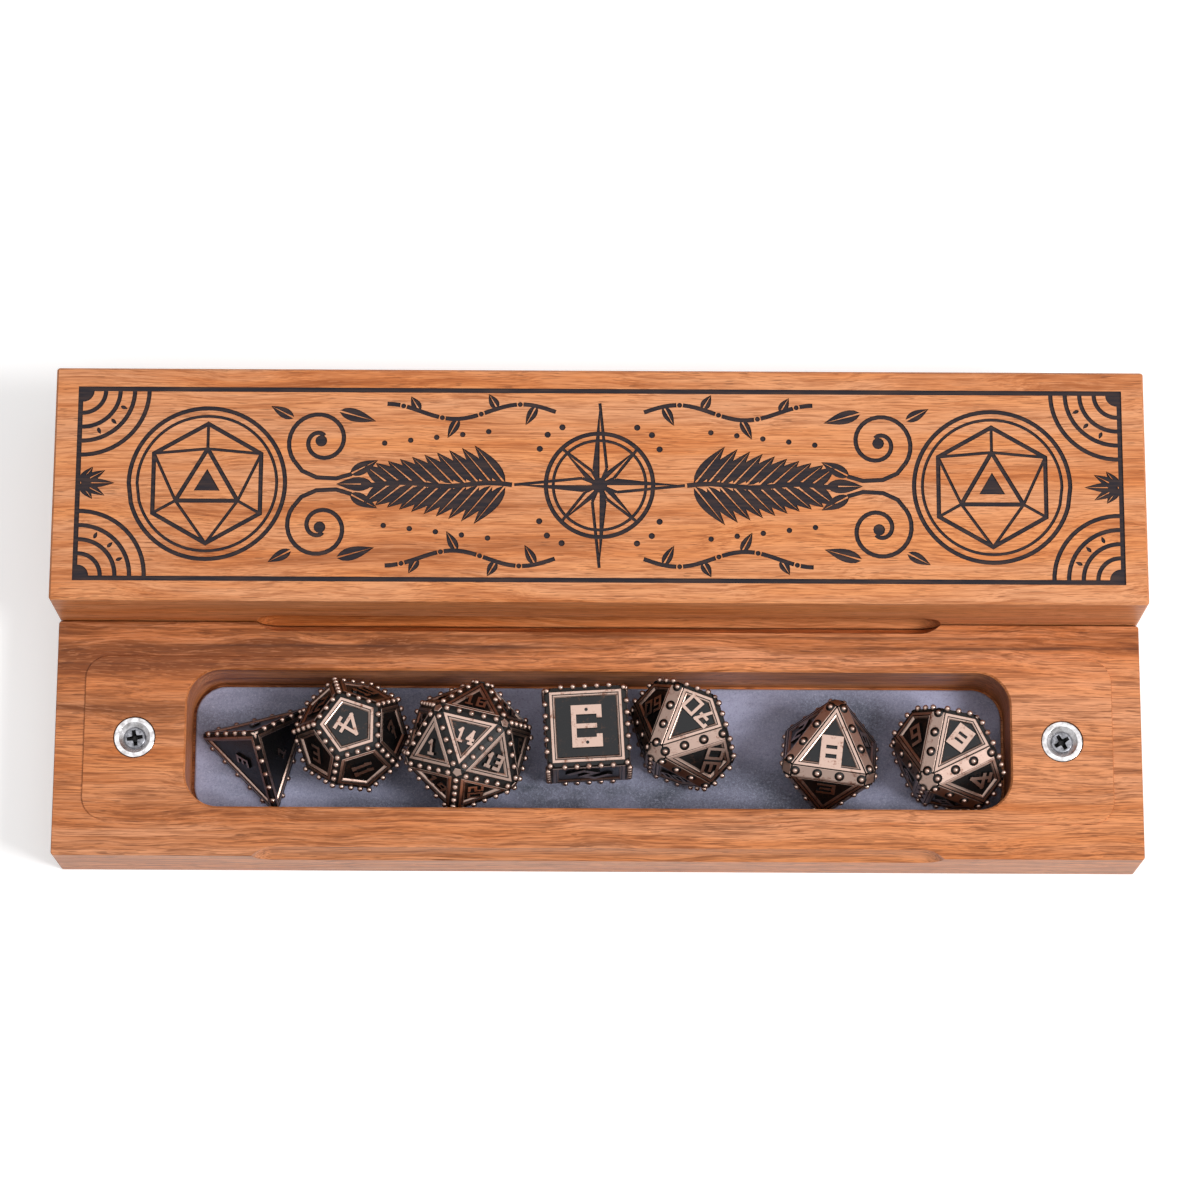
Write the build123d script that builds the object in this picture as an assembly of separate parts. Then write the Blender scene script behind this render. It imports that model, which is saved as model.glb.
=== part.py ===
from build123d import *
from math import atan2, cos, radians, sin, sqrt
import os

# Dice storage box: a shut box with a lift-off lid, an open tray of the same pattern
# in front of it, and the seven dice that lie in the tray. Millimetres, +Z up.
# The origin is on the table, midway between the two, with +X along the length.

# Dice: size from the resting face to what lies opposite it
d4_height = 19.2
d6_across = 16.0
d8_across = 15.8
d10_across = 16.1
d12_across = 18.2
d20_across = 21.5

# Dice: how far each worked edge is set back into its two faces
bead_setback = 1.0
band_setback = 1.5
frame_width = 0.5
panel_depth = 0.45
panel_draft = 0.12

# Dice: turn of each about its own upright axis, in degrees
d4_turn_deg = 164.3
d12_turn_deg = 179.9
d20_turn_deg = 137.0
d6_turn_deg = 48.4
tens_turn_deg = 43.7
d8_turn_deg = 82.2
units_turn_deg = 52.4

# Dice: gap along the row from the piece before, below nought where two forms nest
d4_end_gap = 2.09
d12_gap = -1.49
d20_gap = -0.13
d6_gap = 2.47
tens_gap = 0.25
units_end_gap = 1.52
d8_gap = 3.07
rows_apart = 9.36

# Dice: gap from the nearer long wall of the pocket
d4_front_gap = 1.52
d12_rear_gap = 1.81
d20_front_gap = 0.39
d6_rear_gap = 3.17
tens_rear_gap = 1.46
d8_front_gap = 1.2
units_front_gap = 1.54

# Wood: pocket and edges
pocket_play = 2.51
pocket_radius = 6.5
pocket_floor = 2.6
headroom = 3.0
rim_break = 0.35
corner_radius = 0.6
edge_break = 0.4
seam_break = 0.15

# Wood: raised land round the pocket, and the recess in the lid that it enters
land_height = 0.35
land_past_pocket = 2.7
land_past_magnet = 5.8
land_from_side = 6.9
land_from_end = 5.6
land_radius = 4.5
land_break = 0.15
land_side_clear = 0.3
land_top_clear = 0.1

# Wood: finger groove along both long sides, centred on the seam
groove_from_end = 38.5
groove_depth = 1.8
groove_reach = 4.2

# Lining
lining_thick = 1.4
lining_gap = 0.6
lining_break = 0.3

# Countersunk screws, and the ring magnets that they hold; the sinks are at 45 degrees
screw_shank_d = 2.6
screw_drop = 0.7
screw_head_clear = 0.03
shank_clear = 0.4
sink_depth = 1.5
straight_bore = 1.5
magnet_rim = 0.8
magnet_below_face = 0.1
magnet_clear = 0.1
magnet_past_pocket = 5.96
pilot_clear = 0.05
pilot_past_tip = 0.4
wood_past_pilot = 4.6

# The tray stands in front of the shut box
stand_gap = 0.3

os.makedirs("parts", exist_ok=True)
TINY = 1e-5
GOLD = (1 + sqrt(5)) / 2


def signs(count):
    """List every way of giving count numbers a sign."""
    if count == 0:
        return [()]
    return [(s,) + rest for s in (1, -1) for rest in signs(count - 1)]


def tetrahedron():
    """Corner points of a four-sided die."""
    return [Vector(*s) for s in signs(3) if s[0] * s[1] * s[2] > 0]


def cube():
    """Corner points of a six-sided die."""
    return [Vector(*s) for s in signs(3)]


def octahedron():
    """Corner points of an eight-sided die."""
    return [Vector(*(s if k == axis else 0 for k in range(3))) for axis in range(3) for s in (1, -1)]


def dodecahedron():
    """Corner points of a twelve-sided die."""
    points = cube()
    for a, b in signs(2):
        points += [Vector(0, a / GOLD, b * GOLD), Vector(a / GOLD, b * GOLD, 0)]
        points += [Vector(a * GOLD, 0, b / GOLD)]
    return points


def icosahedron():
    """Corner points of a twenty-sided die."""
    points = []
    for a, b in signs(2):
        points += [Vector(0, a, b * GOLD), Vector(a, b * GOLD, 0), Vector(a * GOLD, 0, b)]
    return points


def trapezohedron():
    """Corner points of a ten-sided die: two poles, then a zigzag ring of ten."""
    step = radians(36)
    rise = (1 - cos(step)) / (1 + cos(step))
    ring = [Vector(cos(step * k), sin(step * k), rise * (-1) ** (k + 1)) for k in range(10)]
    return [Vector(0, 0, 1), Vector(0, 0, -1)] + ring


def mean(points):
    """Middle of a list of points."""
    total = Vector(0, 0, 0)
    for point in points:
        total = total + point
    return total * (1 / len(points))


def face_rings(points):
    """Faces of a convex form as rings of point numbers, anticlockwise from outside."""
    found = {}
    count = len(points)
    for i in range(count):
        for j in range(i + 1, count):
            for k in range(j + 1, count):
                normal = (points[j] - points[i]).cross(points[k] - points[i])
                if normal.length < TINY:
                    continue
                normal = normal.normalized()
                level = normal.dot(points[i])
                if level < 0:
                    normal, level = normal * -1, -level
                if max(p.dot(normal) for p in points) < level + TINY:
                    ring = tuple(m for m in range(count) if points[m].dot(normal) > level - TINY)
                    found[ring] = normal
    rings = []
    for ring, normal in sorted(found.items(), key=lambda item: item[0]):
        centre = mean([points[m] for m in ring])
        first = (points[ring[0]] - centre).normalized()
        second = normal.cross(first)
        order = sorted(ring, key=lambda m: atan2((points[m] - centre).dot(second),
                                                 (points[m] - centre).dot(first)))
        rings.append(order)
    return rings


def stand(points, rings, pick, on_face, size, turn):
    """Lay a form on a face, scale it to its size and turn its picked corner to an angle."""
    face = next(ring for ring in rings if set(pick) <= set(ring))
    centre = mean([points[m] for m in face])
    normal = (points[face[1]] - points[face[0]]).cross(points[face[2]] - points[face[1]]).normalized()
    up = normal * -1 if on_face else normal
    lead = points[pick[-1]] - centre
    ahead = (lead - up * lead.dot(up)).normalized()
    side = up.cross(ahead)
    laid = [Vector(p.dot(ahead), p.dot(side), p.dot(up)) for p in points]
    low = min(p.Z for p in laid)
    scale = size / (max(p.Z for p in laid) - low)
    c, s = cos(radians(turn)), sin(radians(turn))
    return [Vector(p.X * c - p.Y * s, p.X * s + p.Y * c, p.Z - low) * scale for p in laid]


def inset_ring(points, ring, setback, extra, sink):
    """Corner points of a face after each edge moves in by its setback and the face sinks."""
    count = len(ring)
    corners = [points[m] for m in ring]
    normal = (corners[1] - corners[0]).cross(corners[2] - corners[1]).normalized()
    result = []
    for k in range(count):
        before, here, after = corners[k - 1], corners[k], corners[(k + 1) % count]
        into = (here - before).normalized()
        out = (after - here).normalized()
        gap_before = setback(ring[k - 1], ring[k]) + extra
        gap_after = setback(ring[k], ring[(k + 1) % count]) + extra
        along_out = gap_before / out.dot(normal.cross(into))
        along_back = gap_after / (into * -1).dot(normal.cross(out))
        result.append(here + out * along_out - into * along_back - normal * sink)
    return result


def polygon(points):
    """Flat face through a ring of points."""
    return Face(Wire.make_polygon(points, close=True))


def worked_die(points, rings, setback):
    """Solid of a die: flat edges, cut corners and a sunk panel framed on every face."""
    rims = [inset_ring(points, ring, setback, 0, 0) for ring in rings]
    faces = []
    for ring, rim in zip(rings, rims):
        inner = inset_ring(points, ring, setback, frame_width, 0)
        floor = inset_ring(points, ring, setback, frame_width + panel_draft, panel_depth)
        faces.append(Face(Wire.make_polygon(rim, close=True), [Wire.make_polygon(inner, close=True)]))
        faces.append(polygon(floor))
        for k in range(len(ring)):
            n = (k + 1) % len(ring)
            faces.append(polygon([inner[k], inner[n], floor[n], floor[k]]))
    owner = {}
    for f, ring in enumerate(rings):
        for k in range(len(ring)):
            owner[(ring[k], ring[(k + 1) % len(ring)])] = (f, k)
    for (a, b), (f, k) in owner.items():
        if a > b:
            continue
        g, m = owner[(b, a)]
        near = [rims[f][k], rims[f][(k + 1) % len(rings[f])]]
        far = [rims[g][m], rims[g][(m + 1) % len(rings[g])]]
        faces.append(polygon(near + far))
    for corner in range(len(points)):
        around = [rims[f][ring.index(corner)] for f, ring in enumerate(rings) if corner in ring]
        centre = mean(around)
        first = (around[0] - centre).normalized()
        second = points[corner] - mean(points)
        second = second.cross(first).normalized()
        around.sort(key=lambda p: atan2((p - centre).dot(second), (p - centre).dot(first)))
        faces.append(polygon(around))
    return Solid(Shell(faces))


def all_beads(a, b):
    """Every edge carries beads."""
    return bead_setback


def all_bands(a, b):
    """Every edge is a flat riveted band."""
    return band_setback


def bands_from_poles(a, b):
    """Edges that meet a pole are bands, and the zigzag ring carries beads."""
    return band_setback if min(a, b) < 2 else bead_setback


def make_die(form, pick, on_face, size, turn, setback):
    """Build a die standing at the origin, with its reach in plan."""
    points = form()
    rings = face_rings(points)
    placed = stand(points, rings, pick, on_face, size, turn)
    solid = worked_die(placed, rings, setback)
    return solid, solid.bounding_box()


d4 = make_die(tetrahedron, (0,), True, d4_height, d4_turn_deg, all_beads)
d6 = make_die(cube, (0,), False, d6_across, d6_turn_deg, all_beads)
d8 = make_die(octahedron, (0,), False, d8_across, d8_turn_deg, all_bands)
tens = make_die(trapezohedron, (0, 2), False, d10_across, tens_turn_deg, bands_from_poles)
units = make_die(trapezohedron, (0, 2), False, d10_across, units_turn_deg, bands_from_poles)
d12 = make_die(dodecahedron, (0,), False, d12_across, d12_turn_deg, all_beads)
d20 = make_die(icosahedron, (0,), False, d20_across, d20_turn_deg, all_beads)

# Two rows of dice: five from the pocket's left end, two from its right end
left_row = [("die_d4", d4, d4_end_gap), ("die_d12", d12, d12_gap), ("die_d20", d20, d20_gap),
            ("die_d6", d6, d6_gap), ("die_d10_tens", tens, tens_gap)]
right_row = [("die_d10_units", units, units_end_gap), ("die_d8", d8, d8_gap)]
front_gaps = {"die_d4": d4_front_gap, "die_d20": d20_front_gap, "die_d8": d8_front_gap,
              "die_d10_units": units_front_gap}
rear_gaps = {"die_d12": d12_rear_gap, "die_d6": d6_rear_gap, "die_d10_tens": tens_rear_gap}


def row_length(row):
    """Length that a row of dice takes up, with its gaps."""
    return sum(gap + box.size.X for node, (solid, box), gap in row)


# Pocket that holds both rows, and the height that the tallest die needs
dice_boxes = [box for node, (solid, box), gap in left_row + right_row]
pocket_length = row_length(left_row) + rows_apart + row_length(right_row)
pocket_width = max(box.size.Y for box in dice_boxes) + pocket_play
lining_top = pocket_floor + lining_thick
half_height = lining_top + (max(box.size.Z for box in dice_boxes) + headroom) / 2
lower_face = half_height + land_height
upper_face = half_height - land_height - land_top_clear

# Magnets and screws, sized from the shank outwards
magnet_bore = screw_shank_d + 2 * shank_clear
magnet_sink_d = magnet_bore + 2 * sink_depth
magnet_d = magnet_sink_d + 2 * magnet_rim
magnet_thick = sink_depth + straight_bore
magnet_x = pocket_length / 2 + magnet_past_pocket + magnet_d / 2
screw_reach = upper_face - wood_past_pilot - pilot_past_tip - magnet_below_face

# Land, outline and grooves
land_length = 2 * magnet_x + magnet_d + 2 * land_past_magnet
land_width = pocket_width + 2 * land_past_pocket
box_length = land_length + 2 * land_from_end
box_width = land_width + 2 * land_from_side
tray_y = -(box_width + stand_gap) / 2
box_y = (box_width + stand_gap) / 2
groove_radius = (groove_depth ** 2 + groove_reach ** 2) / (2 * groove_depth)


def slab(length, width, radius, height, base):
    """Upright plate with rounded corners, standing on the level base."""
    return Pos(0, 0, base) * extrude(RectangleRounded(length, width, radius), height)


def break_edges(solid, level, size, on):
    """Chamfer the outline edges that lie at one level."""
    edges = [e for e in solid.edges() if abs(e.bounding_box().min.Z - level) < TINY
             and abs(e.bounding_box().max.Z - level) < TINY and on(e.center())]
    return chamfer(edges, size)


def finger_grooves(level):
    """Round-ended cutters for the two long finger grooves at the level of the seam."""
    run = box_length - 2 * groove_from_end - 2 * groove_reach
    cutters = Part()
    for side in (-1, 1):
        axis_y = side * (box_width / 2 + groove_radius - groove_depth)
        bar = Pos(0, axis_y, level) * Rot(0, 90, 0) * Cylinder(groove_radius, run)
        ends = [Pos(end * run / 2, axis_y, level) * Sphere(groove_radius) for end in (-1, 1)]
        cutters += bar + ends[0] + ends[1]
    return cutters


def everywhere(centre):
    """Accept every edge."""
    return True


def in_pocket(centre):
    """Accept the edges of the pocket's mouth."""
    return abs(centre.X) < pocket_length / 2 + TINY and abs(centre.Y) < pocket_width / 2 + TINY


def half_blank():
    """One wooden half with its seam at the top, before its seam face is worked."""
    blank = slab(box_length, box_width, corner_radius, half_height, 0)
    blank = break_edges(blank, 0, edge_break, everywhere)
    return break_edges(blank, half_height, seam_break, everywhere)


def magnet_seats(face):
    """Cutters for the magnet seats and screw pilots, sunk from the level of a face."""
    cutters = Part()
    for side in (-1, 1):
        seat = Cylinder(magnet_d / 2 + magnet_clear, magnet_thick + magnet_below_face,
                        align=(Align.CENTER, Align.CENTER, Align.MAX))
        pilot = Cylinder(screw_shank_d / 2 + pilot_clear, magnet_below_face + screw_reach + pilot_past_tip,
                         align=(Align.CENTER, Align.CENTER, Align.MAX))
        cutters += Pos(side * magnet_x, 0, face) * (seat + pilot)
    return cutters


def lower_half():
    """Tray: blank with a raised land, pocket, magnet seats and finger grooves."""
    land = slab(land_length, land_width, land_radius, lower_face - pocket_floor, pocket_floor)
    land = break_edges(land, lower_face, min(land_break, land_height / 2), everywhere)
    wood = half_blank() + land
    wood -= slab(pocket_length, pocket_width, pocket_radius, lower_face, pocket_floor)
    wood = break_edges(wood, lower_face, rim_break, in_pocket)
    wood -= magnet_seats(lower_face)
    return wood - finger_grooves(half_height)


def upper_half():
    """Lid, upside down: blank with a recess for the land, and the same pocket and seats."""
    wood = half_blank()
    wood -= slab(land_length + 2 * land_side_clear, land_width + 2 * land_side_clear,
                 land_radius + land_side_clear, half_height, upper_face)
    wood -= slab(pocket_length, pocket_width, pocket_radius, half_height, pocket_floor)
    wood = break_edges(wood, upper_face, rim_break, in_pocket)
    wood -= magnet_seats(upper_face)
    return wood - finger_grooves(half_height)


def lining():
    """Soft strip on the pocket's floor, a little smaller than the pocket."""
    strip = slab(pocket_length - 2 * lining_gap, pocket_width - 2 * lining_gap,
                 pocket_radius - lining_gap, lining_thick, pocket_floor)
    return break_edges(strip, lining_top, lining_break, everywhere)


def turned(points):
    """Solid of revolution about Z from a profile given as radius and height."""
    return revolve(make_face(Plane.XZ * Polyline(*points, close=True)), Axis.Z)


def ring_magnet():
    """Countersunk ring with its working face at nought."""
    bore, sink, rim = magnet_bore / 2, magnet_sink_d / 2, magnet_d / 2
    return turned([(bore, -magnet_thick), (rim, -magnet_thick), (rim, 0), (sink, 0), (bore, bore - sink)])


def flat_head_screw():
    """Plain form of a screw whose cone lies in the magnet's countersink, measured from its face."""
    head = magnet_sink_d / 2 - screw_drop - screw_head_clear
    shank = screw_shank_d / 2
    return turned([(0, -screw_drop), (head, -screw_drop), (shank, -screw_drop - head + shank),
                   (shank, -screw_reach), (0, -screw_reach)])


def write(node, solid):
    """Write one piece under its node's name."""
    export_step(solid, f"parts/{node}.step")
    print(node, "volume", round(solid.volume, 1), "valid", solid.is_valid)


def write_half(name, wood, face, place):
    """Write a wooden half with its lining, two magnets and two screws."""
    write(f"{name}_body", place * wood)
    write(f"{name}_lining", place * lining())
    for side, x in (("left", -magnet_x), ("right", magnet_x)):
        seat = place * Pos(x, 0, face - magnet_below_face)
        write(f"{name}_magnet_{side}", seat * ring_magnet())
        write(f"{name}_screw_{side}", seat * flat_head_screw())


def write_die(node, die, left):
    """Write a die that lies on the tray's lining with its left side at one length."""
    solid, box = die
    if node in front_gaps:
        y = tray_y - pocket_width / 2 + front_gaps[node] - box.min.Y
    else:
        y = tray_y + pocket_width / 2 - rear_gaps[node] - box.max.Y
    write(node, Pos(left - box.min.X, y, lining_top) * solid)


tray = lower_half()
write_half("tray", tray, lower_face, Pos(0, tray_y, 0))
write_half("base", tray, lower_face, Pos(0, box_y, 0))
write_half("lid", upper_half(), upper_face, Pos(0, box_y, 2 * half_height) * Rot(180, 0, 0))

reached = -pocket_length / 2
for node, die, gap in left_row:
    write_die(node, die, reached + gap)
    reached += gap + die[1].size.X
reached = pocket_length / 2
for node, die, gap in right_row:
    reached -= gap + die[1].size.X
    write_die(node, die, reached)
print("box", box_length, box_width, 2 * half_height, "pocket", pocket_length, pocket_width)
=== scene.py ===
import logging
import math
from collections.abc import Callable, Iterable, Iterator, Sequence
from dataclasses import dataclass, field
from enum import Enum, IntEnum
from itertools import combinations

import bmesh
import bpy
from mathutils import Matrix, Vector, noise
from mathutils.geometry import delaunay_2d_cdt


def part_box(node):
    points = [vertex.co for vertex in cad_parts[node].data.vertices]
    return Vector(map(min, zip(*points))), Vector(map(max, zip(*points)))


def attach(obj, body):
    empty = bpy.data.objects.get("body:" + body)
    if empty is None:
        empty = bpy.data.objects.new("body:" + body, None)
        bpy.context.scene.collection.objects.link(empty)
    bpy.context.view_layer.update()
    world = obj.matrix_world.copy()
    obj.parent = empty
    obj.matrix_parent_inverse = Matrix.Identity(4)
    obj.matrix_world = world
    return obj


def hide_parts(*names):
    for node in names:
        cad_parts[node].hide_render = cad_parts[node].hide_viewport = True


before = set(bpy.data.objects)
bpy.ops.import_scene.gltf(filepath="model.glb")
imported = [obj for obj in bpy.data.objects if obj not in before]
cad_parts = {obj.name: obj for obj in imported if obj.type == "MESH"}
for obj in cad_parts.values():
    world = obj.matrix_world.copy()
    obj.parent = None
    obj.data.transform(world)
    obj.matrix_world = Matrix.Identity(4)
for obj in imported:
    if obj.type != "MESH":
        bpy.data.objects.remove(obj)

# Dice storage box: a shut wooden box behind, an open tray of seven metal dice in front.
# Shapes are worked out in millimetres in the row's frame, and written in metres.

MM = 0.001
log = logging.getLogger("dice_box")

Shade = tuple[float, float, float, float]
Flat = list[Vector]
Triple = tuple[float, float, float]
Socket = bpy.types.NodeSocket
Finish = bpy.types.Material
Draft = bmesh.types.BMesh


def srgb(red: float, green: float, blue: float) -> Shade:
    """Turn a display colour into the linear one that a shader takes.

    Args:
        red: Red, 0 to 255.
        green: Green, 0 to 255.
        blue: Blue, 0 to 255.

    Returns:
        The linear colour with full alpha.
    """
    def linear(value: float) -> float:
        """Undo the display curve for one channel."""
        share = value / 255
        return share / 12.92 if share <= 0.04045 else ((share + 0.055) / 1.055) ** 2.4

    return linear(red), linear(green), linear(blue), 1.0


class Graph:
    """The node tree of a material or world, built by short calls."""

    def __init__(self, tree: bpy.types.NodeTree) -> None:
        """Start from an empty tree."""
        self.tree = tree
        tree.nodes.clear()

    def node(self, kind: str, feeds: dict | None = None, **settings: object) -> bpy.types.Node:
        """Add a node.

        Args:
            kind: The node's type.
            feeds: Input names or numbers, each with a socket to link or a value to set.
            settings: Properties of the node.

        Returns:
            The node.
        """
        made = self.tree.nodes.new(kind)
        for key, value in settings.items():
            setattr(made, key, value)
        for key, value in (feeds or {}).items():
            if isinstance(value, Socket):
                self.tree.links.new(value, made.inputs[key])
            else:
                made.inputs[key].default_value = value
        return made

    def own(self) -> Socket:
        """Give the object's own coordinates, in metres."""
        return self.node("ShaderNodeTexCoord").outputs["Object"]

    def place(self, scale: Sequence[float], shift: Sequence[float] = (0, 0, 0),
              turn_deg: Sequence[float] = (0, 0, 0)) -> Socket:
        """Give the object's own coordinates, stretched.

        Args:
            scale: Factor along each axis.
            shift: Offset after the factor.
            turn_deg: Turn about each axis in degrees.

        Returns:
            The vector socket.
        """
        own = self.own()
        turn = tuple(math.radians(angle) for angle in turn_deg)
        feeds = {"Vector": own, "Scale": scale, "Location": shift, "Rotation": turn}
        return self.node("ShaderNodeMapping", feeds).outputs["Vector"]

    def slope(self, along: float, across: float) -> Socket:
        """Give a level that rises evenly over the object.

        Args:
            along: How much it rises in each millimetre of length.
            across: How much it rises in each millimetre of width.

        Returns:
            The level's socket.
        """
        own = self.own()
        feeds = {0: own, 1: (along / MM, across / MM, 0.0)}
        return self.node("ShaderNodeVectorMath", feeds, operation="DOT_PRODUCT").outputs["Value"]

    def noise(self, vector: Socket, detail: float = 2.0, roughness: float = 0.5,
              distortion: float = 0.0) -> Socket:
        """Give noise of unit scale.

        Args:
            vector: Where it is read.
            detail: How many finer layers it has.
            roughness: How strong each finer layer is.
            distortion: How far it is warped.

        Returns:
            The factor's socket.
        """
        feeds = {"Vector": vector, "Scale": 1.0, "Detail": detail, "Roughness": roughness,
                 "Distortion": distortion}
        return self.node("ShaderNodeTexNoise", feeds).outputs["Fac"]

    def ramp(self, factor: Socket, *stops: tuple[float, Shade]) -> Socket:
        """Turn a factor into a colour.

        Args:
            factor: The factor.
            stops: Places from 0 to 1, each with its colour.

        Returns:
            The colour socket.
        """
        made = self.node("ShaderNodeValToRGB", {"Fac": factor})
        elements = made.color_ramp.elements
        while len(elements) < len(stops):
            elements.new(0.5)
        for element, (where, colour) in zip(elements, sorted(stops)):
            element.position = where
            element.color = colour
        return made.outputs["Color"]

    def share(self, factor: Socket, low: float, high: float,
              at_low: float = 0.0, at_high: float = 1.0) -> Socket:
        """Carry a factor over to another span, smoothly and clamped.

        Args:
            factor: The factor.
            low: One end of its span.
            high: The other end.
            at_low: What the one end becomes.
            at_high: What the other end becomes.

        Returns:
            The result's socket.
        """
        feeds = {"Value": factor, "From Min": low, "From Max": high, "To Min": at_low, "To Max": at_high}
        made = self.node("ShaderNodeMapRange", feeds, interpolation_type="SMOOTHSTEP")
        return made.outputs["Result"]

    def mix(self, factor: object, first: object, second: object, mode: str = "MIX") -> Socket:
        """Mix two colours.

        Args:
            factor: Share of the second, a socket or a number.
            first: The first colour.
            second: The second colour.
            mode: The blend mode.

        Returns:
            The colour socket.
        """
        feeds = {0: factor, 6: first, 7: second}
        return self.node("ShaderNodeMix", feeds, data_type="RGBA", blend_type=mode).outputs[2]

    def tinted(self, ground: Socket, factor: Socket,
               *tints: tuple[float, float, float, Shade]) -> Socket:
        """Lay shades over a ground by one factor.

        Args:
            ground: The ground's colour.
            factor: The factor.
            tints: The factor from which each shade shows, that at which it is full, its share there,
                and the shade.

        Returns:
            The colour socket.
        """
        for start, full, strength, shade in tints:
            ground = self.mix(self.share(factor, start, full, 0.0, strength), ground, shade)
        return ground

    def math(self, operation: str, first: object, second: object) -> Socket:
        """Work out one step of arithmetic."""
        return self.node("ShaderNodeMath", {0: first, 1: second}, operation=operation).outputs[0]

    def bump(self, height: Socket, strength: float, depth_mm: float) -> Socket:
        """Turn a height into a normal.

        Args:
            height: Height from 0 to 1.
            strength: Share of the full effect.
            depth_mm: What a height of 1 stands for.

        Returns:
            The normal socket.
        """
        feeds = {"Height": height, "Strength": strength, "Distance": depth_mm * MM}
        return self.node("ShaderNodeBump", feeds).outputs["Normal"]

    def surface(self, feeds: dict) -> None:
        """End the tree in a Principled surface with the given inputs."""
        shader = self.node("ShaderNodeBsdfPrincipled", feeds).outputs["BSDF"]
        self.node("ShaderNodeOutputMaterial", {"Surface": shader})


def new_material(name: str) -> tuple[Finish, Graph]:
    """Make an empty material.

    Args:
        name: The material's name.

    Returns:
        The material and its graph.
    """
    made = bpy.data.materials.new(name)
    made.use_nodes = True
    return made, Graph(made.node_tree)


def add_object(name: str, data: bpy.types.ID) -> bpy.types.Object:
    """Put a new object in the scene.

    Args:
        name: Its name.
        data: Its mesh, lamp or camera.

    Returns:
        The object.
    """
    made = bpy.data.objects.new(name, data)
    bpy.context.scene.collection.objects.link(made)
    return made


def polar(turn_deg: float, reach: float = 1.0) -> Vector:
    """Give the flat vector of a length at an angle."""
    turn = math.radians(turn_deg)
    return Vector((math.cos(turn), math.sin(turn))) * reach


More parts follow.
